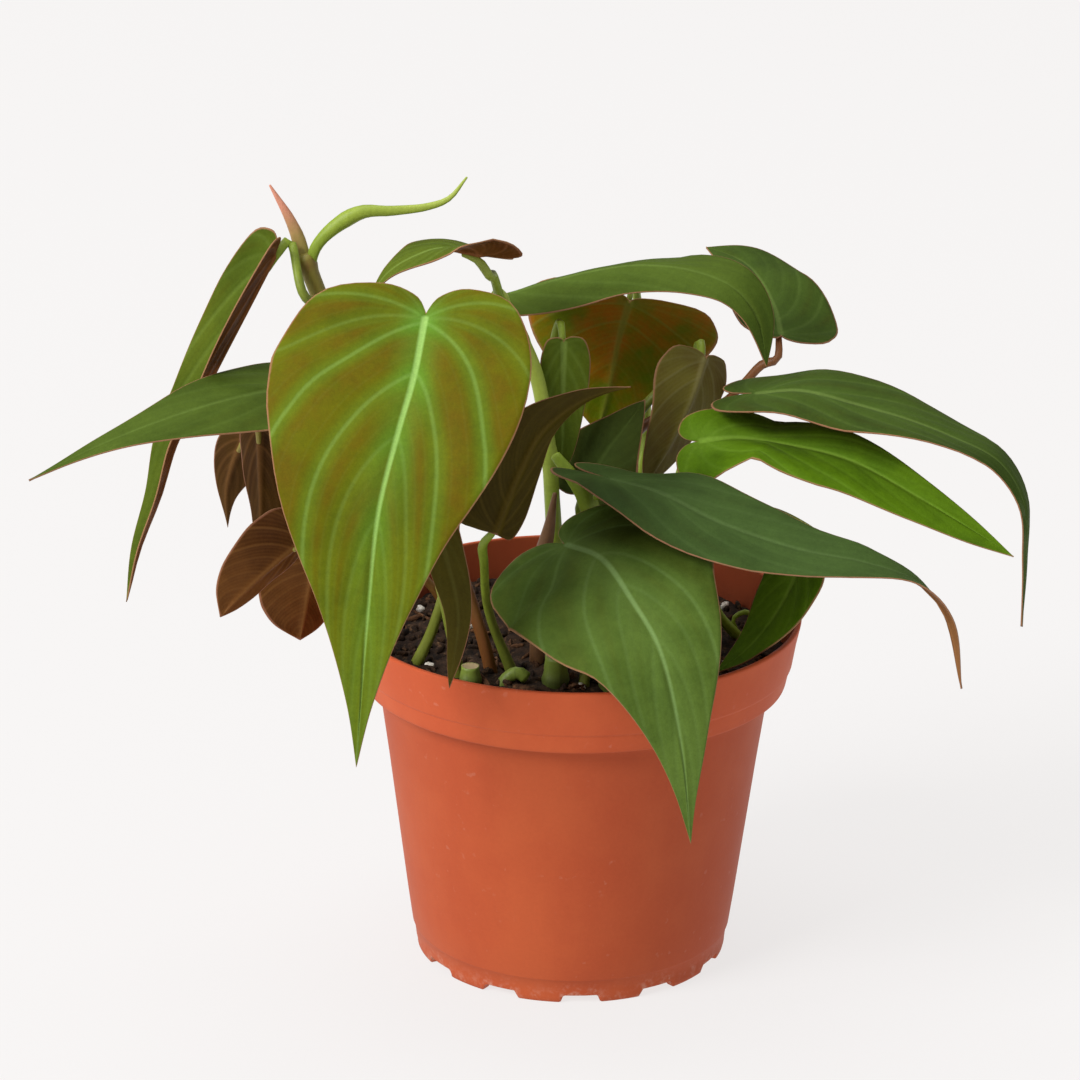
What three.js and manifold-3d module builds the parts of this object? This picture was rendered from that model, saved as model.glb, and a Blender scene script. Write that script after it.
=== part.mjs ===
// Potted philodendron: a bushy young vine in a thin moulded nursery pot. Millimetres, +Z up.
// The origin is the pot's axis on the ground. The plant's front is -Y and its wide side is X.
import * as THREE from "three";
import { mergeVertices } from "three/addons/utils/BufferGeometryUtils.js";
import Module from "manifold-3d";

const wasm = await Module();
wasm.setup();

// Pot.
const POT_HEIGHT = 85.3;
const RIM_RADIUS = 54;
const COLLAR_FOOT_RADIUS = 50.8;
const COLLAR_FOOT_Z = 69.2;
const COLLAR_STEP_Z = 74;
const BODY_TOP_RADIUS = 47;
const BASE_RADIUS = 37.5;
const WALL = 1.3;
const FLOOR_TOP_Z = 3.6;
const FLOOR_UNDER_Z = 2.2;
const STEP_Z = 6;
const FOOT_COUNT = 12;
const FOOT_GAP_DEG = 15;
const FOOT_DEPTH = 2;
const FIRST_FOOT_DEG = -71;
const GATE_RADIUS = 6;
const DRAIN_COUNT = 6;
const DRAIN_RADIUS = 3.2;
const DRAIN_CIRCLE = 25;
const POT_FACETS = 48;

// Soil.
const SOIL_Z = 76;
const SOIL_ROUGH = 1.1;
const GAP = 0.3;

// Leaves and stalks.
const BLADE_MID_THICKNESS = 0.9;
const BLADE_EDGE_THICKNESS = 0.5;
const PETIOLE_RADIUS = 1.1;
const STALK_SIDES = 8;

const at = (x, y, z) => new THREE.Vector3(x, y, z);
const lerp = THREE.MathUtils.lerp;
const clamp = THREE.MathUtils.clamp;
const radians = THREE.MathUtils.degToRad;

const FINISHES = {
  terracotta: { color: 0xbb5a37, roughness: 0.62 },
  soil: { color: 0x2a1d16, roughness: 0.95 },
  velvet_green: { color: 0x4d6b22, roughness: 0.7 },
  deep_green: { color: 0x27401a, roughness: 0.65 },
  bright_green: { color: 0x5f8c2c, roughness: 0.6 },
  bronze_leaf: { color: 0x6b3d1e, roughness: 0.65 },
  green_stalk: { color: 0x7c9440, roughness: 0.55 },
  brown_stalk: { color: 0x7a4630, roughness: 0.6 },
  pink_sheath: { color: 0xd59a86, roughness: 0.5 },
};

const group = new THREE.Group();
group.name = "potted_philodendron";

function add(name, geometry, finish) {
  const { color, roughness } = FINISHES[finish];
  const material = new THREE.MeshStandardMaterial({ color, roughness, metalness: 0 });
  material.name = finish;
  const mesh = new THREE.Mesh(geometry, material);
  mesh.name = name;
  group.add(mesh);
  return mesh;
}

// Solids for the cuts.
function solid(geometry) {
  const bare = geometry.clone();
  bare.deleteAttribute("normal");
  bare.deleteAttribute("uv");
  const merged = mergeVertices(bare, 1e-4);
  return new wasm.Manifold(
    new wasm.Mesh({
      numProp: 3,
      vertProperties: merged.attributes.position.array,
      triVerts: new Uint32Array(merged.index.array),
    }),
  );
}

function geometryOf(body) {
  const mesh = body.getMesh();
  const geometry = new THREE.BufferGeometry();
  geometry.setAttribute("position", new THREE.BufferAttribute(mesh.vertProperties, 3));
  geometry.setIndex(new THREE.BufferAttribute(mesh.triVerts, 1));
  const flat = geometry.toNonIndexed();
  flat.computeVertexNormals();
  return flat;
}

// Takes the cutters off a body and keeps its largest piece.
function cutBy(geometry, cutters) {
  let body = solid(geometry);
  for (const cutter of cutters) {
    body = body.subtract(solid(cutter));
  }
  const pieces = body.decompose();
  pieces.sort((a, b) => b.volume() - a.volume());
  return geometryOf(pieces[0].simplify(0.002));
}

function fromTriangles(points) {
  const geometry = new THREE.BufferGeometry();
  geometry.setAttribute("position", new THREE.Float32BufferAttribute(points, 3));
  geometry.computeVertexNormals();
  return geometry;
}

function pushTriangle(list, a, b, c) {
  const across = new THREE.Vector3().subVectors(b, a);
  const down = new THREE.Vector3().subVectors(c, a);
  if (across.cross(down).length() < 1e-7) {
    return;
  }
  list.push(...a.toArray(), ...b.toArray(), ...c.toArray());
}

function pushQuad(list, a, b, c, d, turned) {
  if (turned) {
    pushTriangle(list, a, c, b);
    pushTriangle(list, a, d, c);
  } else {
    pushTriangle(list, a, b, c);
    pushTriangle(list, a, c, d);
  }
}

// Pot: collar, stepped wall, recessed floor and a ring of feet.
function potProfile() {
  const collarIn = RIM_RADIUS - WALL;
  const outline = [
    [0, 0],
    [GATE_RADIUS, 0],
    [GATE_RADIUS + 0.4, FLOOR_UNDER_Z],
    [BASE_RADIUS - 2.4, FLOOR_UNDER_Z],
    [BASE_RADIUS - 2.1, 0],
    [BASE_RADIUS, 0],
    [BASE_RADIUS + 0.7, STEP_Z],
    [BASE_RADIUS + 1.1, STEP_Z + 0.3],
    [BODY_TOP_RADIUS, COLLAR_FOOT_Z],
    [COLLAR_FOOT_RADIUS - 0.5, COLLAR_FOOT_Z],
    [COLLAR_FOOT_RADIUS, COLLAR_FOOT_Z + 0.5],
    [COLLAR_FOOT_RADIUS + 0.9, COLLAR_STEP_Z - 0.2],
    [COLLAR_FOOT_RADIUS + 1.3, COLLAR_STEP_Z + 0.2],
    [RIM_RADIUS, POT_HEIGHT - 0.5],
    [RIM_RADIUS - 0.4, POT_HEIGHT],
    [collarIn + 0.3, POT_HEIGHT],
    [collarIn, POT_HEIGHT - 0.4],
    [COLLAR_FOOT_RADIUS - WALL + 0.4, COLLAR_FOOT_Z + 1.4],
    [BODY_TOP_RADIUS - WALL - 0.1, COLLAR_FOOT_Z - 0.4],
    [BASE_RADIUS - WALL + 0.5, FLOOR_TOP_Z + 1.2],
    [BASE_RADIUS - WALL - 0.9, FLOOR_TOP_Z],
    [0, FLOOR_TOP_Z],
  ];
  return outline.map(([r, z]) => new THREE.Vector2(r, z));
}

function latheUp(profile, facets) {
  const geometry = new THREE.LatheGeometry(profile, facets);
  geometry.rotateX(Math.PI / 2);
  return geometry;
}

function footGap(index) {
  const turn = radians(FIRST_FOOT_DEG + (index * 360) / FOOT_COUNT + 15);
  const half = BASE_RADIUS * Math.sin(radians(FOOT_GAP_DEG / 2));
  const gap = new THREE.Shape();
  gap.moveTo(-half, -1);
  gap.lineTo(half, -1);
  gap.lineTo(half, FOOT_DEPTH - 0.9);
  gap.lineTo(half - 0.9, FOOT_DEPTH);
  gap.lineTo(0.9 - half, FOOT_DEPTH);
  gap.lineTo(-half, FOOT_DEPTH - 0.9);
  const block = new THREE.ExtrudeGeometry(gap, { depth: 8, bevelEnabled: false });
  block.rotateX(Math.PI / 2);
  block.translate(0, -(BASE_RADIUS - 5), 0);
  block.rotateZ(turn);
  return block;
}

function drainHole(index) {
  const turn = radians((index * 360) / DRAIN_COUNT + 30);
  const hole = new THREE.CylinderGeometry(DRAIN_RADIUS, DRAIN_RADIUS, 12, 12);
  hole.rotateX(Math.PI / 2);
  hole.translate(DRAIN_CIRCLE * Math.cos(turn), DRAIN_CIRCLE * Math.sin(turn), 3);
  return hole;
}

function buildPot() {
  const cutters = [];
  for (let i = 0; i < FOOT_COUNT; i += 1) {
    cutters.push(footGap(i));
  }
  for (let i = 0; i < DRAIN_COUNT; i += 1) {
    cutters.push(drainHole(i));
  }
  add("pot", cutBy(latheUp(potProfile(), POT_FACETS), cutters), "terracotta");
}

// Soil: fills the pot to a rough surface below the rim.
function soilHeight(radius, turn) {
  const swell = Math.sin(3 * turn + 0.6) * 0.5 + Math.cos(5 * turn + radius * 0.3) * 0.4;
  const rise = 0.7 * Math.cos(radius * 0.16 + 1.1);
  return SOIL_Z + SOIL_ROUGH * clamp(radius / 16, 0, 1) * swell + rise;
}

function soilGeometry(lift) {
  const rings = [12, 24, 35, 44, 50.4];
  const walls = [
    [COLLAR_FOOT_RADIUS - WALL - 0.3, COLLAR_FOOT_Z + 2.2],
    [BODY_TOP_RADIUS - WALL - 0.7, COLLAR_FOOT_Z + 0.1],
    [BASE_RADIUS - WALL, FLOOR_TOP_Z + 1.6],
    [BASE_RADIUS - WALL - 1.4, FLOOR_TOP_Z + GAP],
  ];
  const facets = 24;
  const list = [];
  const spin = (r, z, k) => {
    const turn = (k * 2 * Math.PI) / facets;
    return at(r * Math.cos(turn), r * Math.sin(turn), z);
  };
  const surface = (r, k) => {
    const turn = (((k + facets) % facets) * 2 * Math.PI) / facets;
    return spin(r, soilHeight(r, turn) + lift, k);
  };
  const low = FLOOR_TOP_Z + GAP;
  for (let k = 0; k < facets; k += 1) {
    const top = at(0, 0, soilHeight(0, 0) + lift);
    pushTriangle(list, top, surface(rings[0], k), surface(rings[0], k + 1));
    for (let i = 0; i + 1 < rings.length; i += 1) {
      const [r0, r1] = [rings[i], rings[i + 1]];
      pushQuad(list, surface(r0, k), surface(r1, k), surface(r1, k + 1), surface(r0, k + 1), false);
    }
    const edge = rings[rings.length - 1];
    const [w0, z0] = walls[0];
    pushQuad(list, surface(edge, k), spin(w0, z0, k), spin(w0, z0, k + 1), surface(edge, k + 1), false);
    for (let i = 0; i + 1 < walls.length; i += 1) {
      const [ra, za] = walls[i];
      const [rb, zb] = walls[i + 1];
      pushQuad(list, spin(ra, za, k), spin(rb, zb, k), spin(rb, zb, k + 1), spin(ra, za, k + 1), false);
    }
    const [rl] = walls[walls.length - 1];
    pushTriangle(list, at(0, 0, low), spin(rl, low, k + 1), spin(rl, low, k));
  }
  return fromTriangles(list);
}

const soilCutter = soilGeometry(GAP);

// Blade outline from the notch behind the petiole round a lobe to the drip tip:
// fraction of the length ahead, fraction of the half width out. LOBE scales what lies behind,
// and FULL goes from a sharp drip tip at 0 to a blunt rounded end at 1.
function bladeOutline({ lobe, full }) {
  return new THREE.SplineCurve([
    new THREE.Vector2(-0.015, 0),
    new THREE.Vector2(-0.75 * lobe, 0.1),
    new THREE.Vector2(-lobe, 0.36),
    new THREE.Vector2(-0.5 * lobe, 0.76),
    new THREE.Vector2(0.1, 0.98),
    new THREE.Vector2(0.24, 0.97),
    new THREE.Vector2(0.38, lerp(0.8, 0.97, full)),
    new THREE.Vector2(0.54, lerp(0.53, 0.9, full)),
    new THREE.Vector2(0.7, lerp(0.28, 0.76, full)),
    new THREE.Vector2(0.86, lerp(0.1, 0.5, full)),
    new THREE.Vector2(1, 0),
  ]);
}

const LOBE_SHARE = 0.4;

// The upper side's direction at a share of the rib, from directions evenly spread along it.
function faceAt(directions, s) {
  const place = s * (directions.length - 1);
  const index = Math.min(Math.floor(place), directions.length - 2);
  return new THREE.Vector3().lerpVectors(directions[index], directions[index + 1], place - index);
}

// An angle at a share of the rib: one number, or several evenly spread along it.
function angleAt(angle, s) {
  if (!Array.isArray(angle)) {
    return angle;
  }
  const place = s * (angle.length - 1);
  const index = Math.min(Math.floor(place), angle.length - 2);
  return lerp(angle[index], angle[index + 1], place - index);
}

// A blade's mid surface. The rib is a curve from the petiole to the tip. FACE is the upper
// side's direction along it, WIDE the half widths, FOLD and CURL the angles in degrees by
// which each half rises at the rib and on towards the margin, WAVE the margin's ripple.
function bladeSurface(leaf) {
  const rib = new THREE.CatmullRomCurve3(leaf.rib, false, "centripetal");
  const length = rib.getLength();
  const place = (ahead, out, side, lift) => {
    const s = clamp(ahead, 0, 1);
    const origin = rib.getPointAt(s);
    const along = rib.getTangentAt(s);
    if (ahead < 0) {
      origin.addScaledVector(along, ahead * length);
    }
    const face = faceAt(leaf.face, s);
    face.addScaledVector(along, -face.dot(along)).normalize();
    const away = new THREE.Vector3().crossVectors(along, face).multiplyScalar(side);
    const half = side > 0 ? 0 : 1;
    const fold = radians(angleAt(leaf.fold[half], s));
    const curl = radians(angleAt(leaf.curl[half], s));
    const reach = leaf.wide[half] * out;
    const mean = fold + (curl * out) / 2;
    const tilt = out > 0 ? fold + curl * out : 0;
    const ripple = leaf.wave * Math.sin(13 * ahead + 1.7 * side) * out * out;
    origin.addScaledVector(away, reach * Math.cos(mean));
    origin.addScaledVector(face, reach * Math.sin(mean) + ripple);
    const upper = face.clone().multiplyScalar(Math.cos(tilt));
    upper.addScaledVector(away, -Math.sin(tilt));
    return origin.addScaledVector(upper, lift);
  };
  return { length, place };
}

function bladeGeometry(leaf, extra) {
  const { length, place } = bladeSurface(leaf);
  const outline = bladeOutline(leaf);
  const rows = length > 60 ? 14 : 10;
  const cols = length > 60 ? 3 : 2;
  const point = (i, j, side, layer) => {
    const u = i / rows;
    const edge = outline.getPoint(u);
    const root = Math.pow(clamp((u - LOBE_SHARE) / (1 - LOBE_SHARE), 0, 1), 1.4);
    const t = j / cols;
    const ahead = lerp(root, edge.x, t);
    const out = Math.max(0, edge.y * t);
    const thick = lerp(BLADE_MID_THICKNESS, BLADE_EDGE_THICKNESS, t) / 2;
    return place(ahead, out, side, layer * (thick + extra));
  };
  const list = [];
  for (const side of [1, -1]) {
    const turned = side < 0;
    for (let i = 0; i < rows; i += 1) {
      for (let j = 0; j < cols; j += 1) {
        const corners = (layer) => [
          point(i, j, side, layer),
          point(i, j + 1, side, layer),
          point(i + 1, j + 1, side, layer),
          point(i + 1, j, side, layer),
        ];
        pushQuad(list, ...corners(1), turned);
        pushQuad(list, ...corners(-1), !turned);
      }
      pushQuad(
        list,
        point(i + 1, cols, side, 1),
        point(i, cols, side, 1),
        point(i, cols, side, -1),
        point(i + 1, cols, side, -1),
        turned,
      );
    }
  }
  return fromTriangles(list);
}

// A closed round stalk along a curve, through radii evenly spread from its start to its end.
function stalkGeometry(points, radii, extra, sides = STALK_SIDES) {
  const curve = new THREE.CatmullRomCurve3(points, false, "centripetal");
  const steps = clamp(Math.round(curve.getLength() / 7), 3 * (radii.length - 1), 18);
  const frames = curve.computeFrenetFrames(steps, false);
  const list = [];
  const middle = (i) => {
    const past = (i === steps ? extra : 0) - (i === 0 ? extra : 0);
    return curve.getPointAt(i / steps).addScaledVector(frames.tangents[i], past);
  };
  const ring = (i, k) => {
    const turn = (k * 2 * Math.PI) / sides;
    const place = (i / steps) * (radii.length - 1);
    const index = Math.min(Math.floor(place), radii.length - 2);
    const radius = lerp(radii[index], radii[index + 1], place - index) + extra;
    const rim = middle(i);
    rim.addScaledVector(frames.normals[i], radius * Math.cos(turn));
    return rim.addScaledVector(frames.binormals[i], radius * Math.sin(turn));
  };
  const start = middle(0);
  const end = middle(steps);
  for (let k = 0; k < sides; k += 1) {
    const next = (k + 1) % sides;
    for (let i = 0; i < steps; i += 1) {
      pushQuad(list, ring(i, k), ring(i, next), ring(i + 1, next), ring(i + 1, k), false);
    }
    pushTriangle(list, start, ring(0, next), ring(0, k));
    pushTriangle(list, end, ring(steps, k), ring(steps, next));
  }
  return fromTriangles(list);
}

// Vines rising from the soil: points from below the surface up, radii from foot to top.
const VINES = {
  vine_left: {
    points: [
      at(-19, -17, 74), at(-22, -17, 86), at(-31, -16, 112),
      at(-44, -14, 138), at(-57, -10, 159), at(-63, -8, 173),
    ],
    radii: [1.5, 1.5, 1.8, 1.9, 2],
    finish: "brown_stalk",
  },
  vine_centre: {
    points: [
      at(-3, -8, 74), at(-5, -5, 104), at(-7, -1, 128), at(-10, 2, 144), at(-15, 2, 155), at(-19, 1, 163),
    ],
    radii: [2.2, 1.8, 1.6],
    finish: "green_stalk",
  },
  vine_right: {
    points: [at(24, -4, 74), at(25, -4, 90), at(27, 1, 112), at(32, 6, 125), at(37, 9, 129)],
    radii: [1.9, 1.8, 1.5],
    finish: "brown_stalk",
  },
  vine_back: {
    points: [at(4, 20, 74), at(5, 21, 95), at(8, 20, 114), at(13, 18, 128)],
    radii: [1.9, 1.5],
    finish: "brown_stalk",
  },
};

// Leaves. PETIOLE runs from inside its vine (or the soil) through the given points. It joins the
// blade's underside, or its upper side where JOINT is 1.
const LEAVES = {
  front_heart: {
    rib: [
      at(-34, -44, 170), at(-36, -56, 160), at(-39, -63, 150),
      at(-43, -70, 134), at(-45, -73, 114), at(-48, -74, 75),
    ],
    face: [at(-0.1, -1, 0.7), at(-0.15, -1, 0.25), at(-0.15, -1, 0.1)],
    wide: [32, 26], fold: [6, 12], curl: [-12, -14], lobe: 0.075, wave: 0.5, full: 0,
    finish: "velvet_green",
    petiole: [at(-38, -12, 74), at(-33, -13, 86), at(-28, -20, 112), at(-30, -30, 142)],
  },
  rim_heart: {
    rib: [
      at(-2, -26, 111), at(6, -38, 112), at(13, -52, 107),
      at(19, -60, 99), at(24, -65, 80), at(27, -66, 54),
    ],
    face: [at(-0.2, -0.6, 1), at(-0.1, -0.85, 0.6), at(0, -1, 0.15)],
    wide: [27, 24], fold: [4, 0], curl: [-12, -20], lobe: 0.1, wave: 0.6, full: 0,
    finish: "velvet_green",
    petiole: [at(2, -28, 74), at(3, -26, 86), at(0, -20, 98)],
  },
  right_low: {
    rib: [
      at(8, -20, 125), at(19, -29, 125), at(33, -38, 121), at(51, -44, 117),
      at(65, -46, 115), at(77, -47, 111), at(84, -48, 103), at(88, -49, 86),
    ],
    face: [
      at(0, 0.1, 1), at(0, -0.35, 1), at(0.1, -0.6, 1), at(0.1, -0.4, 1), at(0.6, 0.3, 0.8), at(0.9, 0.7, 0.2),
    ],
    wide: [14, 12], fold: [8, 4], curl: [-10, -10], lobe: 0.13, wave: 0.6, full: 0.1,
    finish: "deep_green",
    petiole: [at(14, -1, 74), at(14, -1, 98), at(10.6, -8.4, 116.5)],
  },
  right_bright: {
    rib: [
      at(29, -5, 129.7), at(37, -6.5, 131), at(49, -9.5, 130.5),
      at(63, -14, 128.5), at(79, -19, 121.3), at(101, -24, 109),
    ],
    face: [
      at(-0.2, -0.7, 0.8), at(0, -0.1, 1), at(0, -0.55, 1), at(0.1, -0.8, 1), at(0.2, -0.9, 0.8), at(0.2, -1, 0.7),
    ],
    wide: [16, 10], fold: [14, 6], curl: [-4, -10], lobe: 0.07, wave: 0.5, full: 0.35,
    finish: "bright_green",
    petiole: [at(42, 6, 74), at(34, 1, 85), at(31, -1, 96), at(27.5, -3, 108), at(24, -4, 119)],
  },
  right_top: {
    rib: [
      at(42, 0, 140), at(52, -4, 142), at(65, -8, 140), at(76, -12, 138), at(86, -15, 135),
      at(97, -18, 130), at(103, -20, 121), at(104, -21, 107), at(104, -22, 91),
    ],
    face: [at(0, -0.3, 1), at(0, -0.3, 1), at(0.2, -0.3, 1), at(1, -0.4, 0.4), at(1, -0.5, 0.2)],
    wide: [13, 14], fold: [[4, 6, 12, 4, 0], -6], curl: [4, -8], lobe: 0.1, wave: 1, full: 0.1,
    finish: "deep_green",
    petiole: [at(34.5, 8.5, 126), at(40, 10.5, 131)],
  },
  top_round: {
    rib: [at(48, 22, 148), at(47, 32, 151), at(44, 42, 155), at(40, 52, 157), at(31, 62, 158)],
    face: [at(0.3, -0.8, 0.8), at(0.2, -0.5, 1)],
    wide: [15, 12], fold: [6, 10], curl: [-8, -8], lobe: 0.07, wave: 0.4, full: 0.5,
    finish: "deep_green",
    petiole: [at(11, 19, 121), at(20, 27, 125.5), at(34, 24, 129.5), at(39.3, 21, 135.5), at(44, 20, 141)],
  },
  top_long: {
    rib: [
      at(-16, 20, 158), at(-5, 18, 162), at(5, 16, 165), at(14, 13, 167),
      at(26, 9, 167), at(36, 5, 164), at(41, 3, 158), at(44, 1, 146),
    ],
    face: [at(0, -0.4, 1), at(0, -0.5, 1), at(0, -0.6, 1), at(0.3, -0.7, 0.8), at(0.9, -0.7, 0.4)],
    wide: [11, 15], fold: [0, [-40, -40, -32, 0, 30]], curl: [-6, -6], lobe: 0.05, wave: 0.4, full: 0.5,
    finish: "deep_green",
    petiole: [at(-14, 2, 154), at(-17, 10, 153)],
  },
  top_under: {
    rib: [at(12, 33, 152), at(10, 34, 144), at(8, 36, 132), at(5, 39, 117)],
    face: [at(0.1, 0.8, 0.5), at(0.1, 1, 0.3)],
    wide: [24, 24], fold: [4, 4], curl: [10, 10], lobe: 0.06, wave: 0.6, full: 0.4,
    finish: "bronze_leaf", joint: 1,
    petiole: [at(5, 21, 92), at(12, 34, 98), at(17, 47, 116), at(15, 46, 140)],
  },
  top_centre: {
    rib: [at(-23, -12, 176), at(-31, -14, 178), at(-37, -17, 177), at(-43, -20, 174), at(-48, -22, 168)],
    face: [at(-0.1, -0.05, 1), at(-0.6, -0.4, 0.8)],
    wide: [13, 10], fold: [-4, [45, 10, -6, -8]], curl: [-8, -4], lobe: 0.3, wave: 0.5, full: 0,
    finish: "velvet_green",
    petiole: [at(-18, 1, 160), at(-19, -4, 166), at(-20, -7, 170)],
  },
  left_folded: {
    rib: [
      at(-70, -13, 175), at(-75, -13, 165), at(-82, -12, 151), at(-87, -12, 141),
      at(-93, -12, 130), at(-97, -13, 117), at(-102, -15, 104), at(-105, -17, 92),
    ],
    face: [at(-0.35, -1, 0.3), at(-0.35, -1, 0.1)],
    wide: [9, 6], fold: [6, 84], curl: [-6, 20], lobe: 0.06, wave: 0.4, full: 0.3,
    finish: "velvet_green",
    petiole: [at(-58, -10, 161), at(-63, -15, 167)],
  },
  left_long: {
    rib: [
      at(-58, -11, 143), at(-68, -18, 145), at(-79, -26, 145),
      at(-92, -34, 143), at(-107, -39, 138), at(-123, -44, 131),
    ],
    face: [at(0, -0.25, 1), at(-0.1, -0.3, 1)],
    wide: [13, 17], fold: [6, 2], curl: [-10, -14], lobe: 0.06, wave: 0.5, full: 0,
    finish: "deep_green",
    petiole: [at(-51, -12, 149), at(-54, -9, 145)],
  },
  left_curl: {
    rib: [at(-80, 22, 120), at(-83, 24, 113), at(-85, 26, 105), at(-85, 28, 95)],
    face: [at(0.3, 1, 0.5), at(0.1, 1, 0.2)],
    wide: [8, 6], fold: [8, 8], curl: [14, 14], lobe: 0.08, wave: 0.3, full: 0,
    finish: "bronze_leaf",
    petiole: [at(-42, -14, 134), at(-54, 8, 132), at(-68, 17, 128)],
  },
  left_back_hang: {
    rib: [at(-75, 6, 128), at(-75, 6, 117), at(-75, 6, 107), at(-76, 6, 97)],
    face: [at(0.3, 1, 0.3), at(0.4, 1, 0.2)],
    wide: [9, 6], fold: [8, 8], curl: [14, 14], lobe: 0.08, wave: 0.4, full: 0.4,
    finish: "bronze_leaf",
    petiole: [at(-38, -15, 126), at(-50, -6, 128), at(-64, 0, 131)],
  },
  left_blunt: {
    rib: [at(-64, -8, 105), at(-70, -12, 101), at(-76, -15, 96), at(-83, -18, 89)],
    face: [at(-0.1, 1, 0.5), at(-0.2, 1, 0.3)],
    wide: [5, 12], fold: [6, 6], curl: [14, 14], lobe: 0.1, wave: 0.4, full: 0.8,
    finish: "bronze_leaf",
    petiole: [at(-28, -16, 104), at(-46, -8, 111)],
  },
  left_lowest: {
    rib: [at(-62, 6, 95), at(-64, 6, 87), at(-65, 5, 81), at(-66, 4, 75)],
    face: [at(-0.4, 1, 0.6), at(-0.5, 1, 0.3)],
    wide: [10, 13], fold: [8, 8], curl: [14, 14], lobe: 0.1, wave: 0.5, full: 1,
    finish: "bronze_leaf",
    petiole: [at(-28, 6, 74), at(-34, 6, 88), at(-48, 4, 99)],
  },
  centre_dark: {
    rib: [
      at(-18, -40, 119), at(-13, -37, 132), at(-8, -34, 141),
      at(0, -31, 147), at(6, -29, 149), at(12, -28, 150),
    ],
    face: [at(-0.2, 1, 0.2), at(-0.2, 1, 0.2)],
    wide: [13, 6], fold: [6, 6], curl: [10, 10], lobe: 0.02, wave: 0.4, full: 0,
    finish: "bronze_leaf", joint: 1,
    petiole: [at(-14, -16, 74), at(-20, -20, 92), at(-21, -30, 108)],
  },
  centre_tip: {
    rib: [at(-33, -48, 129), at(-29, -51, 117), at(-26, -54, 104), at(-28, -56, 87)],
    face: [at(-0.3, -1, 0.3), at(-0.3, -1, 0.1)],
    wide: [5, 5], fold: [10, 10], curl: [-10, -10], lobe: 0.02, wave: 0.3, full: 0.5,
    finish: "deep_green",
    petiole: [at(-26, -22, 74), at(-30, -32, 98), at(-34, -39, 120)],
  },
  centre_deep: {
    rib: [at(2, 0, 116), at(6, 5, 122), at(11, 9, 128), at(16, 13, 134)],
    face: [at(-0.3, -1, 0.5), at(-0.3, -1, 0.5)],
    wide: [11, 11], fold: [6, 6], curl: [-8, -8], lobe: 0.12, wave: 0.4, full: 0.3,
    finish: "deep_green",
    petiole: [at(5, 21, 92), at(4, 10, 102)],
  },
  centre_grey: {
    rib: [at(30, 20, 142), at(27, 17, 133), at(22, 13, 123), at(16, 10, 113)],
    face: [at(-0.2, 1, 0.6), at(-0.2, 1, 0.6)],
    wide: [9, 11], fold: [6, 6], curl: [10, 10], lobe: 0.05, wave: 0.4, full: 0.6,
    finish: "bronze_leaf", joint: 1,
    petiole: [at(12.5, 18.2, 126.5), at(19, 19, 134), at(28, 25, 142)],
  },
  centre_green: {
    rib: [at(-3.5, 5, 150), at(-3.5, 5, 141), at(-3.5, 4, 133), at(-3.5, 2, 125), at(-4, 1, 118)],
    face: [at(0.2, -1, 0.3), at(0.2, -1, 0.3)],
    wide: [5.6, 6.4], fold: [8, 8], curl: [-8, -8], lobe: 0.05, wave: 0.3, full: 0.6,
    finish: "velvet_green",
    petiole: [at(6, 21, 102), at(-1, 16, 126), at(-6, 13, 142)],
  },
  rim_right: {
    rib: [at(53, -14, 105), at(50, -16, 97), at(45, -19, 89), at(39, -22, 83), at(33, -25, 79.5)],
    face: [at(-0.5, -0.4, 0.8), at(-0.5, -0.4, 0.8)],
    wide: [10, 10], fold: [6, 6], curl: [-6, -6], lobe: 0.08, wave: 0.3, full: 0.4,
    finish: "velvet_green",
    petiole: [at(26, -1.5, 102), at(32, 4, 105), at(40, 3, 110), at(49, -5, 111.5)],
  },
};

// New growth at the left vine's tip, and the sheaths and shoots at the plant's heart.
const SPRIGS = {
  tip_sheath: {
    points: [at(-63, -7, 171), at(-64.5, -6, 177), at(-67, -6, 183), at(-71, -6, 190)],
    radii: [1.9, 1.6, 1, 0.25],
    finish: "pink_sheath",
  },
  rolled_leaf: {
    points: [
      at(-62, -8, 171), at(-60.5, -8, 176), at(-56, -8, 181), at(-50, -8, 184.5),
      at(-43, -8, 185), at(-35, -8, 186), at(-30, -8, 188), at(-26, -8, 193),
    ],
    radii: [1.2, 1.4, 1.9, 1.3, 1, 0.7, 0.25],
    finish: "green_stalk",
  },
  heart_sheath: {
    points: [at(-5, -9, 127), at(-1, -10, 122), at(2, -9, 117), at(4, -8, 110), at(3, -6, 100), at(2, -3, 74)],
    radii: [1.2, 2.4, 2.2, 1.8, 1.6],
    finish: "green_stalk",
  },
  brown_sheath: {
    points: [at(-5, -13, 119), at(-6, -12, 112), at(-8, -11, 100), at(-9, -10, 74)],
    radii: [0.5, 2, 2, 1.6],
    finish: "brown_stalk",
  },
  ring_shoot: {
    points: [at(44, 11, 73), at(44.6, 9, 77), at(44, 8, 80.5), at(41, 8, 82.4), at(38, 8, 80.4), at(38.8, 8, 78.2)],
    radii: [0.7, 0.7, 0.5],
    finish: "green_stalk",
  },
};

// Old stalks cut off just above the soil.
const STUBS = {
  stub_left: { points: [at(-24, -29, 73), at(-24, -29, 82)], radii: [2.3, 2.1] },
  stub_curled: { points: [at(-17, -28, 73), at(-16, -28, 78), at(-13, -28, 80), at(-11, -28, 78.6)], radii: [1.6, 1.5] },
  stub_middle: { points: [at(-4.6, -28, 73), at(-4, -28.4, 84.6)], radii: [3, 2.6] },
  stub_right: { points: [at(8.6, -29, 73), at(8, -28.6, 82.6)], radii: [2.4, 2.2] },
  stub_behind: { points: [at(-3.6, -21, 73), at(-3.4, -21, 92)], radii: [2.2, 2] },
};

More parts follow.
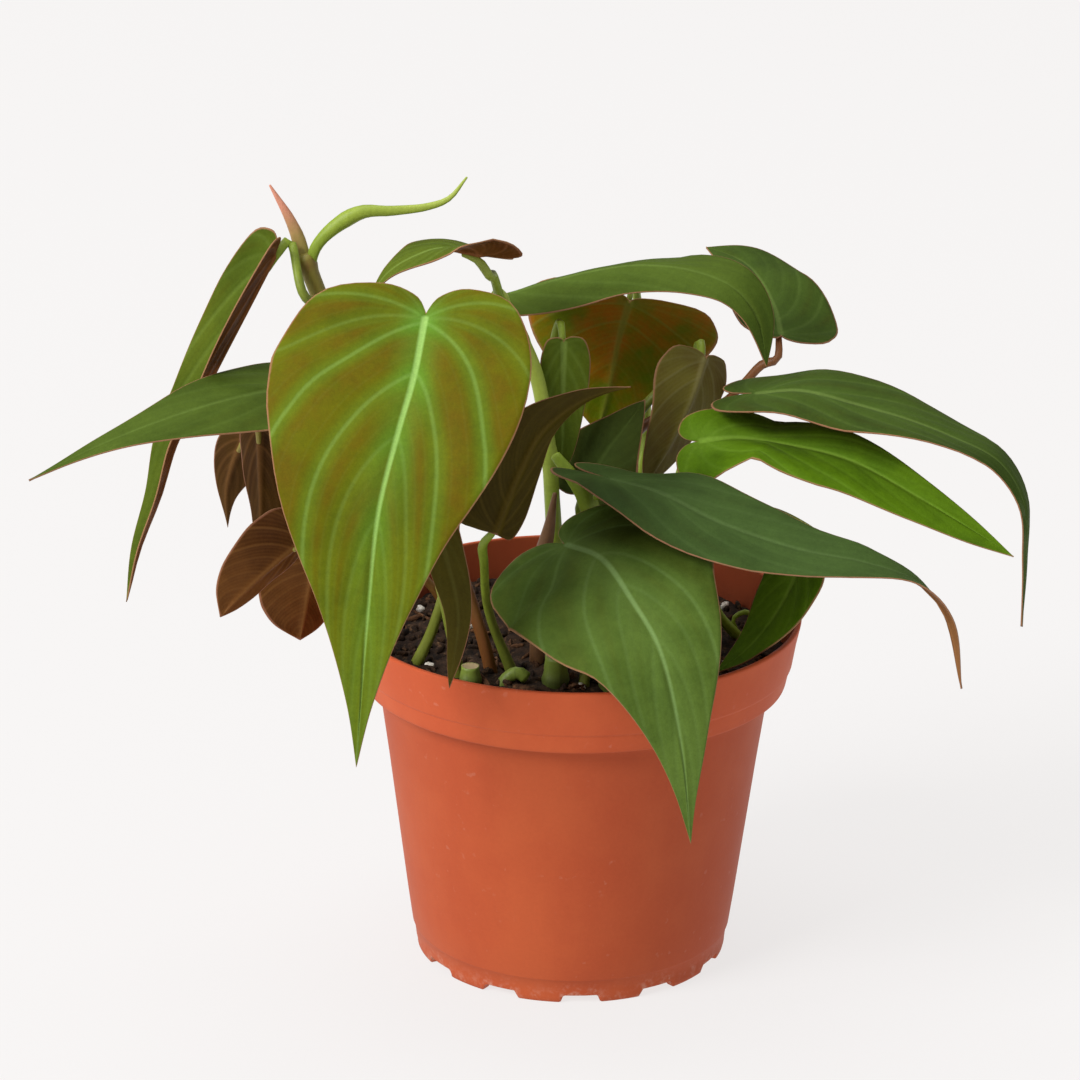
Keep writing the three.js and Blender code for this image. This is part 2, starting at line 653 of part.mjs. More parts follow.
function petiolePoints(leaf) {
  const { place, length } = bladeSurface(leaf);
  const under = BLADE_MID_THICKNESS / 2 + PETIOLE_RADIUS + GAP - 0.05;
  const joint = leaf.joint ?? -1;
  const end = place(-0.5 / length, 0, 1, joint * under);
  const near = place(-4 / length, 0, 1, joint * (under + 3));
  return [...leaf.petiole, near, end];
}

function buildPlant() {
  const stems = [];
  for (const [name, vine] of Object.entries(VINES)) {
    add(name, cutBy(stalkGeometry(vine.points, vine.radii, 0), [soilCutter]), vine.finish);
    stems.push(stalkGeometry(vine.points, vine.radii, GAP));
  }
  for (const [name, leaf] of Object.entries(LEAVES)) {
    add(`leaf_${name}`, bladeGeometry(leaf, 0), leaf.finish);
    const stalk = stalkGeometry(petiolePoints(leaf), [PETIOLE_RADIUS + 0.2, PETIOLE_RADIUS], 0);
    const blade = bladeGeometry(leaf, GAP);
    const back = new THREE.Vector3().subVectors(leaf.rib[0], leaf.rib[1]).setLength(GAP);
    const cutters = [soilCutter, ...stems, blade, blade.clone().translate(back.x, back.y, back.z)];
    add(`petiole_${name}`, cutBy(stalk, cutters), "green_stalk");
  }
  const sprigs = [];
  for (const [name, sprig] of Object.entries(SPRIGS)) {
    const cutters = [soilCutter, ...stems, ...sprigs];
    add(name, cutBy(stalkGeometry(sprig.points, sprig.radii, 0), cutters), sprig.finish);
    sprigs.push(stalkGeometry(sprig.points, sprig.radii, GAP));
  }
  for (const [name, stub] of Object.entries(STUBS)) {
    add(name, cutBy(stalkGeometry(stub.points, stub.radii, 0), [soilCutter]), "green_stalk");
  }
}

buildPot();
add("soil", soilGeometry(0), "soil");
buildPlant();

export default group;
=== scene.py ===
"""A potted philodendron: velvety heart leaves, stalks, potting soil and a moulded nursery pot.

The object's own sizes are in millimetres and become metres when a mesh is made. The origin is
the pot's axis on the ground, +Z is up, and the plant's front is -Y.
"""
import logging
import math
from dataclasses import dataclass
from enum import Enum
from functools import cache, cached_property
from typing import Optional, Sequence, Union

import bpy
import numpy as np
from mathutils import Matrix, Vector, noise


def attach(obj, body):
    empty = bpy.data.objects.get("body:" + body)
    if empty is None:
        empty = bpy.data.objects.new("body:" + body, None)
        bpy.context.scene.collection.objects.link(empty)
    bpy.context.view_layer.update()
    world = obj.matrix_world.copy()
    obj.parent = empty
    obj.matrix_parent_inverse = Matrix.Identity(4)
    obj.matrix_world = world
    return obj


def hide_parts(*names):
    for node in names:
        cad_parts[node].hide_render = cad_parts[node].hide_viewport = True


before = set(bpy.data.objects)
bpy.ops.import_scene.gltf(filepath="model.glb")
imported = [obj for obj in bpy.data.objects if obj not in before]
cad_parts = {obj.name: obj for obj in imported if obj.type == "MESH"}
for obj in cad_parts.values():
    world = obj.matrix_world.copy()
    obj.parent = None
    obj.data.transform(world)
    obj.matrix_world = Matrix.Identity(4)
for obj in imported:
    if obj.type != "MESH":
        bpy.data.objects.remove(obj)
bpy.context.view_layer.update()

LOG = logging.getLogger("potted_philodendron")
BODY = "root"
METRES = 0.001

Point = tuple[float, float, float]
Pair = tuple[float, float]
Colour = tuple[float, float, float, float]
Number = Union[int, float]
Angle = Union[float, Sequence[float]]


# ---------------------------------------------------------------- shader expressions


class Link:
    """One output socket, with arithmetic that adds Math nodes."""

    def __init__(self, shade: "Shade", socket: bpy.types.NodeSocket) -> None:
        """Wraps SOCKET of a node in SHADE's tree."""
        self.shade = shade
        self.socket = socket

    def _math(self, operation: str, *values: Union["Link", Number], clamp: bool = False) -> "Link":
        """Adds a Math node.

        Args:
            operation: the Math node's operation.
            values: its inputs in order, links or numbers.
            clamp: whether the result stays between 0 and 1.

        Returns:
            The node's output.
        """
        settings = {"operation": operation, "use_clamp": clamp}
        return self.shade.node("ShaderNodeMath", settings, dict(enumerate(values)))

    def __add__(self, other: Union["Link", Number]) -> "Link":
        """self + other."""
        return self._math("ADD", self, other)

    __radd__ = __add__

    def __sub__(self, other: Union["Link", Number]) -> "Link":
        """self - other."""
        return self._math("SUBTRACT", self, other)

    def __rsub__(self, other: Number) -> "Link":
        """other - self."""
        return self._math("SUBTRACT", other, self)

    def __mul__(self, other: Union["Link", Number]) -> "Link":
        """self * other."""
        return self._math("MULTIPLY", self, other)

    __rmul__ = __mul__

    def bounce(self, span: Number) -> "Link":
        """Runs up to SPAN and back down again, so it is 0 at each even multiple of SPAN."""
        return self._math("PINGPONG", self, span)

    def step(self, low: Number, high: Number) -> "Link":
        """A smooth rise from 0 to 1, or a fall where HIGH is the smaller.

        Args:
            low: the value at which it is 0.
            high: the value at which it is 1.

        Returns:
            How far it has risen.
        """
        turned = high < low
        bounds = {"From Min": min(low, high), "From Max": max(low, high)}
        bounds |= {"To Min": float(turned), "To Max": float(not turned), "Value": self}
        return self.shade.node("ShaderNodeMapRange", {"interpolation_type": "SMOOTHSTEP"}, bounds)


Input = Union[Link, Number, Sequence[float]]


def linear(code: str) -> Colour:
    """A colour code such as "#8a9b2c" as linear red, green, blue and alpha."""
    parts = [int(code[i : i + 2], 16) / 255 for i in (1, 3, 5)]
    return (*(c / 12.92 if c <= 0.04045 else ((c + 0.055) / 1.055) ** 2.4 for c in parts), 1.0)


class Shade:
    """One procedural material's node tree."""

    def __init__(self, name: str) -> None:
        """Makes an empty material called NAME with a Principled shader."""
        self.material = bpy.data.materials.new(name)
        self.material.use_nodes = True
        self.tree = self.material.node_tree
        self.tree.nodes.clear()
        self.surface = self.tree.nodes.new("ShaderNodeBsdfPrincipled")
        output = self.tree.nodes.new("ShaderNodeOutputMaterial")
        self.tree.links.new(self.surface.outputs["BSDF"], output.inputs["Surface"])

    def _fill(self, node: bpy.types.Node, name: Union[str, int], value: Input) -> None:
        """Links or sets one input.

        Args:
            node: the node.
            name: the input's name or its place.
            value: a link, or a value to set.
        """
        socket = node.inputs[name]
        if isinstance(value, Link):
            self.tree.links.new(value.socket, socket)
        else:
            socket.default_value = value

    def node(
        self,
        kind: str,
        settings: Optional[dict] = None,
        inputs: Optional[dict] = None,
        output: Union[str, int] = 0,
    ) -> Link:
        """Adds one node.

        Args:
            kind: the node's type.
            settings: its properties.
            inputs: values or links by socket name or place.
            output: the name or place of the output to return.

        Returns:
            That output.
        """
        made = self.tree.nodes.new(kind)
        for name, value in (settings or {}).items():
            setattr(made, name, value)
        for name, value in (inputs or {}).items():
            self._fill(made, name, value)
        return Link(self, made.outputs[output])

    def mix(self, first: Input, second: Input, share: Input) -> Link:
        """A colour SHARE of the way from FIRST to SECOND."""
        kind = {"data_type": "RGBA", "clamp_factor": True}
        return self.node("ShaderNodeMix", kind, {0: share, 6: first, 7: second}, 2)

    def coats(self, base: str, *layers: tuple[str, Input]) -> Link:
        """A colour with others laid over it in turn.

        Args:
            base: the lowest colour, as a code.
            layers: a code for each, and how far it covers what is below.

        Returns:
            The colour seen.
        """
        body = linear(base)
        for code, share in layers:
            body = self.mix(body, linear(code), share)
        return body

    def tint(self, colour: Input, strength: Link) -> Link:
        """A colour made darker or lighter.

        Args:
            colour: the colour.
            strength: what it is multiplied by.

        Returns:
            The new colour.
        """
        grey = self.node("ShaderNodeCombineColor", {}, {0: strength, 1: strength, 2: strength})
        kind = {"data_type": "RGBA", "blend_type": "MULTIPLY", "clamp_factor": True}
        return self.node("ShaderNodeMix", kind, {0: 1.0, 6: colour, 7: grey}, 2)

    def spot(self) -> Link:
        """The place on the object, in metres."""
        return self.node("ShaderNodeTexCoord", {}, {}, "Object")

    def stretched(self, scale: Point) -> Link:
        """The place on the object, with each axis scaled by SCALE."""
        kind = {"operation": "MULTIPLY"}
        return self.node("ShaderNodeVectorMath", kind, {0: self.spot(), 1: scale})

    def grain(
        self, scale: Number, detail: Number = 3.0, rough: Number = 0.6, place: Optional[Link] = None
    ) -> Link:
        """Soft noise from 0 to 1.

        Args:
            scale: how many swells there are in a metre.
            detail: how many finer octaves it has.
            rough: how strong those are.
            place: where it is read, or the place on the object.

        Returns:
            The noise's value.
        """
        kind = {"noise_dimensions": "3D"}
        inputs = {"Scale": scale, "Detail": detail, "Roughness": rough}
        return self.node("ShaderNodeTexNoise", kind, inputs | {"Vector": place or self.spot()})

    def layer(self, name: str) -> tuple[Link, Link, Link]:
        """The numbers that the mesh's corners carry.

        Args:
            name: the corner layer.

        Returns:
            The layer's three numbers.
        """
        kind = {"attribute_type": "GEOMETRY", "attribute_name": name}
        packed = self.node("ShaderNodeAttribute", kind, {}, "Vector")
        split = self.node("ShaderNodeSeparateXYZ", {}, {0: packed}, 0)
        outputs = split.socket.node.outputs
        return split, Link(self, outputs[1]), Link(self, outputs[2])

    def bump(self, height: Link, depth: Number) -> Link:
        """A normal from HEIGHT, where 1 stands DEPTH millimetres proud."""
        inputs = {"Height": height, "Distance": depth * METRES, "Strength": 1.0}
        return self.node("ShaderNodeBump", {}, inputs)

    def finish(self, **sockets: Input) -> bpy.types.Material:
        """Sets the Principled shader's inputs.

        Args:
            sockets: a value or link for each input, named with _ for a space.

        Returns:
            The material.
        """
        for name, value in sockets.items():
            self._fill(self.surface, name.replace("_", " "), value)
        return self.material


# ---------------------------------------------------------------- mesh helpers


def unit(vectors: np.ndarray) -> np.ndarray:
    """VECTORS at length 1."""
    return vectors / np.maximum(np.linalg.norm(vectors, axis=-1, keepdims=True), 1e-12)


def smooth(value: np.ndarray, low: float, high: float) -> np.ndarray:
    """Rises smoothly from 0 at LOW to 1 at HIGH."""
    share = np.clip((value - low) / (high - low), 0, 1)
    return share * share * (3 - 2 * share)


def bump_of(size: Pair, gap: np.ndarray) -> np.ndarray:
    """The height at each GAP from the middle of a smooth swelling whose height and width are SIZE."""
    return size[0] * np.exp(-((gap / size[1]) ** 2))


def cubic(
    first: np.ndarray, last: np.ndarray, leaving: np.ndarray, arriving: np.ndarray, share: np.ndarray
) -> np.ndarray:
    """A smooth piece of curve between two points.

    Args:
        first: where it starts.
        last: where it ends.
        leaving: its direction at the start, at the speed of one piece.
        arriving: the same at the end.
        share: how far along it to look, from 0 to 1.

    Returns:
        The points there.
    """
    square = 3 * last - 3 * first - 2 * leaving - arriving
    cube = 2 * first - 2 * last + leaving + arriving
    return first + leaving * share + square * share**2 + cube * share**3


class Path:
    """A smooth curve through points, measured by its length."""

    PER_PIECE = 160
    NEAR = 0.004

    def __init__(self, points: Sequence[Point]) -> None:
        """Threads a centripetal curve through points.

        Args:
            points: what it passes through, in millimetres.
        """
        knots = np.asarray(points, float)
        full = np.vstack([2 * knots[0] - knots[1], knots, 2 * knots[-1] - knots[-2]])
        share = np.linspace(0, 1, self.PER_PIECE, endpoint=False)[:, None]
        places = []
        for i in range(len(knots) - 1):
            a, b, c, d = full[i : i + 4]
            pairs = ((a, b), (b, c), (c, d))
            first, middle, last = (max(math.sqrt(np.linalg.norm(q - p)), 1e-4) for p, q in pairs)
            start = ((b - a) / first - (c - a) / (first + middle) + (c - b) / middle) * middle
            end = ((c - b) / middle - (d - b) / (middle + last) + (d - c) / last) * middle
            places.append(cubic(b, c, start, end, share))
        self._places = np.vstack([*places, knots[-1:]])
        steps = np.linalg.norm(np.diff(self._places, axis=0), axis=1)
        self._run = np.concatenate([[0], np.cumsum(steps)])
        self.length = float(self._run[-1])

    def at(self, share: np.ndarray) -> np.ndarray:
        """The points at each SHARE of the length."""
        run = np.asarray(share) * self.length
        return np.stack([np.interp(run, self._run, self._places[:, k]) for k in range(3)], -1)

    def along(self, share: np.ndarray) -> np.ndarray:
        """The directions along the curve.

        Args:
            share: the places, as shares of the length.

        Returns:
            A direction of length 1 for each.
        """
        near = np.clip(np.asarray(share) - self.NEAR, 0, 1)
        far = np.clip(np.asarray(share) + self.NEAR, 0, 1)
        return unit(self.at(far) - self.at(near))


class Draft:
    """Points, faces and corner values gathered for one mesh, in millimetres.

    Points closer than about 1 / WELD become one.
    """

    WELD = 2000.0

    def __init__(self, layers: Sequence[str] = ()) -> None:
        """Starts an empty mesh.

        Args:
            layers: the names of the layers in which its corners carry three numbers each.
        """
        self.points: list[Point] = []
        self.faces: list[list[int]] = []
        self.slots: list[int] = []
        self.layers: dict[str, list[float]] = {name: [] for name in layers}
        self._known: dict[Point, int] = {}

    def point(self, place: np.ndarray) -> int:
        """Adds a point, unless there is one there.

        Args:
            place: where it is, in millimetres.

        Returns:
            The point's number.
        """
        key = tuple(int(round(c * self.WELD)) for c in place)
        if key not in self._known:
            self._known[key] = len(self.points)
            self.points.append(tuple(place))
        return self._known[key]

    def face(self, corners: Sequence[int], values: Sequence = (), slot: int = 0) -> None:
        """Adds one face, leaving out a corner that repeats the last one.

        Args:
            corners: point numbers in order.
            values: for each corner, three numbers for each layer.
            slot: the material slot.
        """
        kept = [k for k in range(len(corners)) if corners[k] != corners[k - 1]]
        distinct = len({corners[k] for k in kept})
        if distinct < 3 or distinct != len(kept):
            return
        self.faces.append([corners[k] for k in kept])
        self.slots.append(slot)
        for k in kept:
            for store, numbers in zip(self.layers.values(), values[k] if values else ()):
                store.extend(numbers)

    def grid(
        self,
        places: np.ndarray,
        values: Sequence[np.ndarray] = (),
        turned: bool = False,
        slot: int = 0,
        closed: bool = False,
    ) -> None:
        """Adds a sheet of faces over rows and columns of points.

        Args:
            places: the points, rows by columns by 3.
            values: one array of the same shape for each layer.
            turned: whether the faces look the other way.
            slot: the material slot.
            closed: whether the last row joins the first.
        """
        rows, columns = places.shape[:2]
        numbers = [[self.point(places[i, j]) for j in range(columns)] for i in range(rows)]
        lists = [v.tolist() for v in values]
        for i in range(rows if closed else rows - 1):
            k = (i + 1) % rows
            for j in range(columns - 1):
                spots = [(i, j), (i, j + 1), (k, j + 1), (k, j)]
                if turned:
                    spots.reverse()
                held = [[v[a][b] for v in lists] for a, b in spots]
                self.face([numbers[a][b] for a, b in spots], held, slot)

    def make(self, name: str, materials: Sequence[bpy.types.Material]) -> bpy.types.Object:
        """Turns the draft into a smooth object in the scene.

        Args:
            name: the object's name.
            materials: its materials, in the order of the slots.

        Returns:
            The object.
        """
        mesh = bpy.data.meshes.new(name)
        scaled = (np.asarray(self.points) * METRES).tolist()
        mesh.from_pydata(scaled, [], self.faces)
        for material in materials:
            mesh.materials.append(material)
        mesh.polygons.foreach_set("material_index", self.slots)
        mesh.polygons.foreach_set("use_smooth", [True] * len(self.faces))
        for layer, numbers in self.layers.items():
            store = mesh.attributes.new(layer, "FLOAT_VECTOR", "CORNER")
            store.data.foreach_set("vector", np.asarray(numbers, np.float32).ravel())
        mesh.update()
        made = bpy.data.objects.new(name, mesh)
        bpy.context.scene.collection.objects.link(made)
        return made


def settle(piece: bpy.types.Object, slot: str, *nodes: str) -> None:
    """Ties one piece to the frame and logs it.

    Args:
        piece: the piece, which rides on the one body.
        slot: the name of its finish's material slot; not used.
        nodes: the CAD nodes that it stands for.
    """
    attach(piece, BODY)
    if nodes:
        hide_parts(*nodes)
    faces = len(piece.data.polygons)
    LOG.info("%s: %d faces, stands for %s", piece.name, faces, ", ".join(nodes) or "nothing")


# ---------------------------------------------------------------- finishes


@dataclass(frozen=True)
class LeafFinish:
    """A leaf's colours, upper side and underside, with its veins, blush and velvet."""

    name: str
    slot: str
    green: str
    shade: str
    blush: str
    vein: str
    glow: str
    under: str
    under_shade: str
    under_vein: str
    blush_share: float = 0.3
    vein_share: float = 0.5
    margin: str = "#a8735a"
    sheen: float = 0.0

    def upper(self) -> bpy.types.Material:
        """The velvety upper side: paler sunk veins, a blush between them and a thin margin.

        Returns:
            The material.
        """
        shade = Shade(f"{self.name}_upper")
        phase, pitch, strength = shade.layer("vein")
        rib, ahead, rim = shade.layer("blade")
        reach = phase.bounce(0.5) * pitch
        line = reach.step(0.8, 0.1) * strength
        fine = (phase * 3.0).bounce(0.5) * pitch * (1 / 3)
        minor = fine.step(0.45, 0.05) * 0.03
        spine = (rib + ahead * 0.75).step(1.15, 0.4)
        near = reach.step(3.5, 0.3) * strength * 0.5 + rib.step(7.5, 0.5) * (0.95 - ahead * 0.6)
        swell = shade.grain(55.0, 4.0)
        patch = shade.grain(140.0)
        fleck = shade.grain(2400.0, 2.0)
        between = reach.step(0.8, 4.5) * (patch * 0.8 + swell * 0.7).step(0.5, 0.95)
        body = shade.coats(
            self.green,
            (self.shade, swell.step(0.38, 0.66)),
            (self.blush, between * self.blush_share),
            (self.glow, near * 0.55),
            (self.vein, (line * 0.34 + minor) * self.vein_share),
            (self.vein, spine * (1.1 - ahead * 0.5) * min(1.0, self.vein_share * 1.5)),
            (self.margin, rim.step(0.7, 0.15) * 0.7),
        )
        mealy = shade.grain(900.0, 2.0)
        body = shade.tint(body, fleck * 0.3 + mealy * 0.3 + patch * 0.16 + 0.62)
        height = fleck * 0.3 + line * -0.35 + minor * -0.6
        return shade.finish(
            Base_Color=body,
            Roughness=patch * 0.14 + fleck * 0.08 + 0.55,
            Normal=shade.bump(height, 0.16),
            Specular_IOR_Level=0.06,
            Sheen_Weight=self.sheen,
            Sheen_Roughness=0.45,
            Sheen_Tint=linear("#cfe0b0"),
        )

    def lower(self) -> bpy.types.Material:
        """The smoother bronze underside with raised veins.

        Returns:
            The material.
        """
        shade = Shade(f"{self.name}_under")
        phase, pitch, strength = shade.layer("vein")
        rib, ahead, rim = shade.layer("blade")
        reach = phase.bounce(0.5) * pitch
        line = reach.step(0.6, 0.12) * strength
        fine = (phase * 4.0).bounce(0.5) * pitch * 0.25
        spine = (rib + ahead * 0.9).step(1.4, 0.5)
        swell = shade.grain(60.0, 4.0)
        fleck = shade.grain(1900.0, 2.0)
        body = shade.coats(
            self.under,
            (self.under_shade, swell.step(0.36, 0.68)),
            (self.under_vein, line * 0.35 + fine.step(0.4, 0.05) * 0.12),
            (self.under_vein, spine * 0.65),
            (self.margin, rim.step(0.8, 0.2) * 0.5),
        )
        body = shade.tint(body, fleck * 0.3 + 0.82)
        return shade.finish(
            Base_Color=body,
            Roughness=fleck * 0.14 + 0.42,
            Normal=shade.bump(fleck * 0.3 + line * 0.3, 0.14),
            Specular_IOR_Level=0.08,
        )


@dataclass(frozen=True)
class StalkFinish:
    """A stalk's colours from its foot to its top, with streaks, flecks and paler cut ends."""

    name: str
    slot: str
    foot: str
    top: str
    streak: str
    cut: str = "#c9a487"
    rough: float = 0.42

    def make(self) -> bpy.types.Material:
        """The skin of a stalk, with its cut ends.

        Returns:
            The material.
        """
        shade = Shade(self.name)
        ahead, knot, cut = shade.layer("stalk")
        long = shade.stretched((900.0, 900.0, 120.0))
        streaks = shade.grain(1.0, place=long)
        fleck = shade.grain(1500.0, 2.0, 0.5)
        blotch = shade.grain(160.0)
        body = shade.coats(
            self.foot,
            (self.top, (ahead + blotch * 0.5 - 0.25).step(0.1, 0.9)),
            (self.streak, streaks.step(0.5, 0.72) * 0.45),
            (self.streak, knot * 0.55),
            (self.cut, cut),
        )
        body = shade.tint(body, fleck * 0.3 + blotch * 0.2 + 0.75)
        return shade.finish(
            Base_Color=body,
            Roughness=fleck * 0.15 + self.rough,
            Normal=shade.bump(fleck * 0.25 + streaks * 0.5, 0.12),
            Specular_IOR_Level=0.4,
        )


@dataclass(frozen=True)
class PotFinish:
    """Moulded terracotta-coloured plastic with faint flow marks, soil dust and scuffed feet."""

    name: str = "terracotta_plastic"
    slot: str = "terracotta"
    clay: str = "#b45430"
    deep: str = "#aa4b2b"
    dust: str = "#d8c6b4"
    # a dark brown for the damp stains inside and for the painted shade over the whole inside
    stain_and_shade: str = "#6a3520"

    DAMP_HEIGHTS = (82.0, 74.0)
    # the collar carries a painted highlight: over these heights it is painted lighter by up to this much, in
    # place of light falling on it
    COLLAR_HEIGHTS = (67.0, 71.0)
    COLLAR_PAINTED_LIGHT = 0.22

    def make(self) -> bpy.types.Material:
        """Plastic, with dust outside, damp stains inside, painted shade over the whole inside and a painted
        highlight on the collar.

        Returns:
            The material.
        """
        shade = Shade(self.name)
        inward, height, foot = shade.layer("pot")
        flow = shade.grain(1.0, 4.0, 0.6, shade.stretched((30.0, 30.0, 9.0)))
        cloud = shade.grain(45.0, 5.0, 0.65)
        grit = shade.grain(1100.0)
        speck = shade.grain(420.0, 2.0, 0.5)
        smudge = speck.step(0.66, 0.75) * cloud.step(0.45, 0.6)
        scuff = foot * (grit * 0.6 + speck * 0.6).step(0.55, 0.78)
        damp = inward * height.step(*self.DAMP_HEIGHTS) * cloud.step(0.3, 0.6)
        body = shade.coats(
            self.clay,
            (self.deep, (flow * 0.5 + cloud * 0.5).step(0.35, 0.65)),
            (self.dust, smudge * 0.07),
            (self.dust, scuff * 0.45),
            (self.stain_and_shade, damp * 0.8),
            # painted shade: the whole inside is mixed half-way to this dark brown
            (self.stain_and_shade, inward * 0.5),
        )
        # painted highlight: the collar is painted lighter than the wall, standing in for light falling on it
        collar = height.step(*self.COLLAR_HEIGHTS) * self.COLLAR_PAINTED_LIGHT
        body = shade.tint(body, grit * 0.12 + cloud * 0.1 + 0.89 + collar)
        return shade.finish(
            Base_Color=body,
            Roughness=cloud * 0.14 + grit * 0.08 + 0.42,
            Normal=shade.bump(grit * 0.25 + flow * 0.5, 0.1),
            Specular_IOR_Level=0.12,
        )


@dataclass(frozen=True)
class CrumbFinish:
    """A rough crumbly matter: soil, bark or perlite."""

    name: str
    slot: str
    dark: str
    mid: str
    pale: str
    scale: float
    pale_share: float = 0.3
    depth: float = 0.5

    def make(self) -> bpy.types.Material:
        """Clods and grit with pale fibres.

        Returns:
            The material.
        """
        shade = Shade(self.name)
        clod = shade.grain(self.scale, 5.0, 0.7)
        grit = shade.grain(self.scale * 5)
        long = shade.stretched((self.scale * 3, self.scale * 0.6, self.scale))
        fibre = shade.grain(1.0, place=long)
        body = shade.coats(
            self.dark,
            (self.mid, clod.step(0.35, 0.65)),
            (self.pale, (grit * 0.6 + fibre * 0.6).step(0.62, 0.8) * self.pale_share),
        )
        body = shade.tint(body, grit * 0.5 + 0.7)
        return shade.finish(
            Base_Color=body,
            Roughness=grit * 0.15 + 0.8,
            Normal=shade.bump(clod * 0.5 + grit * 0.5, self.depth),
            Specular_IOR_Level=0.2,
        )


Finish = Union[LeafFinish, StalkFinish, PotFinish, CrumbFinish]


@cache
def finish_of(finish: Finish) -> list[bpy.types.Material]:
    """The materials of FINISH, made once: a leaf's two sides, or the one of anything else."""
    return [finish.upper(), finish.lower()] if isinstance(finish, LeafFinish) else [finish.make()]


OLIVE = LeafFinish(
    "olive_velvet", "velvet_green", green="#606206", shade="#535604", blush="#654e0a", vein="#90b65f",
    glow="#5a8c2a", under="#7d4a28", under_shade="#66371c", under_vein="#a4663c",
    blush_share=0.7, vein_share=0.62,
)
MEADOW = LeafFinish(
    "meadow_velvet", "velvet_green", green="#506525", shade="#40541a", blush="#58521c", vein="#85a363",
    glow="#5f7935", under="#7d5630", under_shade="#5f3a1f", under_vein="#a3764a",
    blush_share=0.16, vein_share=0.4,
)
SLATE = LeafFinish(
    "slate_velvet", "deep_green", green="#3b5022", shade="#31441b", blush="#433f1e", vein="#657d49",
    glow="#475f2c", under="#7a5330", under_shade="#5c3b20", under_vein="#98693f",
    blush_share=0.15, vein_share=0.2, sheen=0.04,
)
BRIGHT = LeafFinish(
    "bright_velvet", "bright_green", green="#527309", shade="#385604", blush="#455207", vein="#88ac40",
    glow="#648821", under="#6b6a22", under_shade="#5a5218", under_vein="#8a8a3c",
    blush_share=0.2, vein_share=0.35,
)
FOREST = LeafFinish(
    "forest_velvet", "deep_green", green="#3a4c15", shade="#2d3d0f", blush="#483a11", vein="#708642",
    glow="#465d20", under="#7a4b28", under_shade="#5e3519", under_vein="#9c6a3e",
    blush_share=0.25, vein_share=0.3, sheen=0.03,
)
MOSS = LeafFinish(
    "moss_velvet", "velvet_green", green="#525d12", shade="#404e0c", blush="#5c4110", vein="#849b4a",
    glow="#5e7222", under="#653c15", under_shade="#4e290c", under_vein="#98623a",
    blush_share=0.35, vein_share=0.4,
)
BRONZE = LeafFinish(
    "bronze_velvet", "bronze_leaf", green="#56632a", shade="#47501f", blush="#66441f", vein="#84935a",
    glow="#5d6f30", under="#653e1a", under_shade="#4d2b0e", under_vein="#875c2f",
    blush_share=0.4, vein_share=0.35,
)
BACKLIT = LeafFinish(
    "backlit_bronze", "bronze_leaf", green="#5b6a20", shade="#4b5a16", blush="#6a481a", vein="#8a9c58",
    glow="#61752c", under="#5c6d07", under_shade="#9c5d07", under_vein="#7c8030",
    blush_share=0.4, vein_share=0.35,
)
# painted shade: a darker copy of the bronze leaf, for the two leaves that hang in shade at the back left
BRONZE_PAINTED_SHADE = LeafFinish(
    "bronze_painted_shade_velvet", "bronze_leaf", green="#3c4518", shade="#303812", blush="#4a3010", vein="#5c6438",
    glow="#444e20", under="#402905", under_shade="#341d04", under_vein="#6a4824",
    blush_share=0.4, vein_share=0.3,
)
UMBER = LeafFinish(
    "umber_velvet", "bronze_leaf", green="#3e4a1c", shade="#333c16", blush="#4c3418", vein="#5f6e3a",
    glow="#465424", under="#43390a", under_shade="#392c06", under_vein="#5c4d1a",
    blush_share=0.4, vein_share=0.3,
)
ASH = LeafFinish(
    "ash_velvet", "bronze_leaf", green="#56602e", shade="#454e24", blush="#5c4a26", vein="#7c8656",
    glow="#5c6834", under="#696227", under_shade="#5b4d1e", under_vein="#7a7448",
    blush_share=0.3, vein_share=0.3,
)
FERN = LeafFinish(
    "fern_velvet", "deep_green", green="#465719", shade="#384811", blush="#4e4616", vein="#718941",
    glow="#536824", under="#7a4b28", under_shade="#5e3519", under_vein="#9c6a3e",
    blush_share=0.2, vein_share=0.22,
)
DUSK = LeafFinish(
    "dusk_velvet", "deep_green", green="#384010", shade="#2b340b", blush="#54350d", vein="#566a30",
    glow="#3c4e20", under="#4a3a18", under_shade="#3c2c12", under_vein="#665228",
    blush_share=0.5, vein_share=0.25,
)
EMBER = LeafFinish(
    "ember_velvet", "deep_green", green="#4e4212", shade="#403210", blush="#5c3814", vein="#6c6c34",
    glow="#525018", under="#4a3a18", under_shade="#3c2c12", under_vein="#665228",
    blush_share=0.6, vein_share=0.25,
)

GREEN_STALK = StalkFinish("green_stalk_skin", "green_stalk", foot="#747e2c", top="#889e2d", streak="#636d22")
LIME_STALK = StalkFinish("lime_stalk_skin", "green_stalk", foot="#809625", top="#9baa41", streak="#92a538")
RED_STALK = StalkFinish("red_stalk_skin", "brown_stalk", foot="#663e22", top="#805029", streak="#523115")
LEFT_STALK = StalkFinish("left_stalk_skin", "brown_stalk", foot="#774922", top="#857b2f", streak="#745025")
PINK_SHEATH = StalkFinish("pink_sheath_skin", "pink_sheath", foot="#9d8e48", top="#d08b72", streak="#c97a61")
TAN_SHEATH = StalkFinish("tan_sheath_skin", "brown_stalk", foot="#7d5938", top="#9f7551", streak="#6e482b")
STUB = StalkFinish("stub_skin", "green_stalk", foot="#4f5a24", top="#7c9038", streak="#3c4420", cut="#a8946c")
SOIL = CrumbFinish(
    "potting_soil_mix", "soil", dark="#1c130d", mid="#3d2b1e", pale="#7a5c40", scale=260.0,
    pale_share=0.5,
)
BARK = CrumbFinish(
    "bark_chips", "soil", dark="#3c2618", mid="#6b4930", pale="#a07a54", scale=500.0, depth=0.3
)
PERLITE = CrumbFinish(
    "perlite_grains", "soil", dark="#cfc8bb", mid="#e8e3d8", pale="#ffffff", scale=900.0, depth=0.25
)


# ---------------------------------------------------------------- leaves


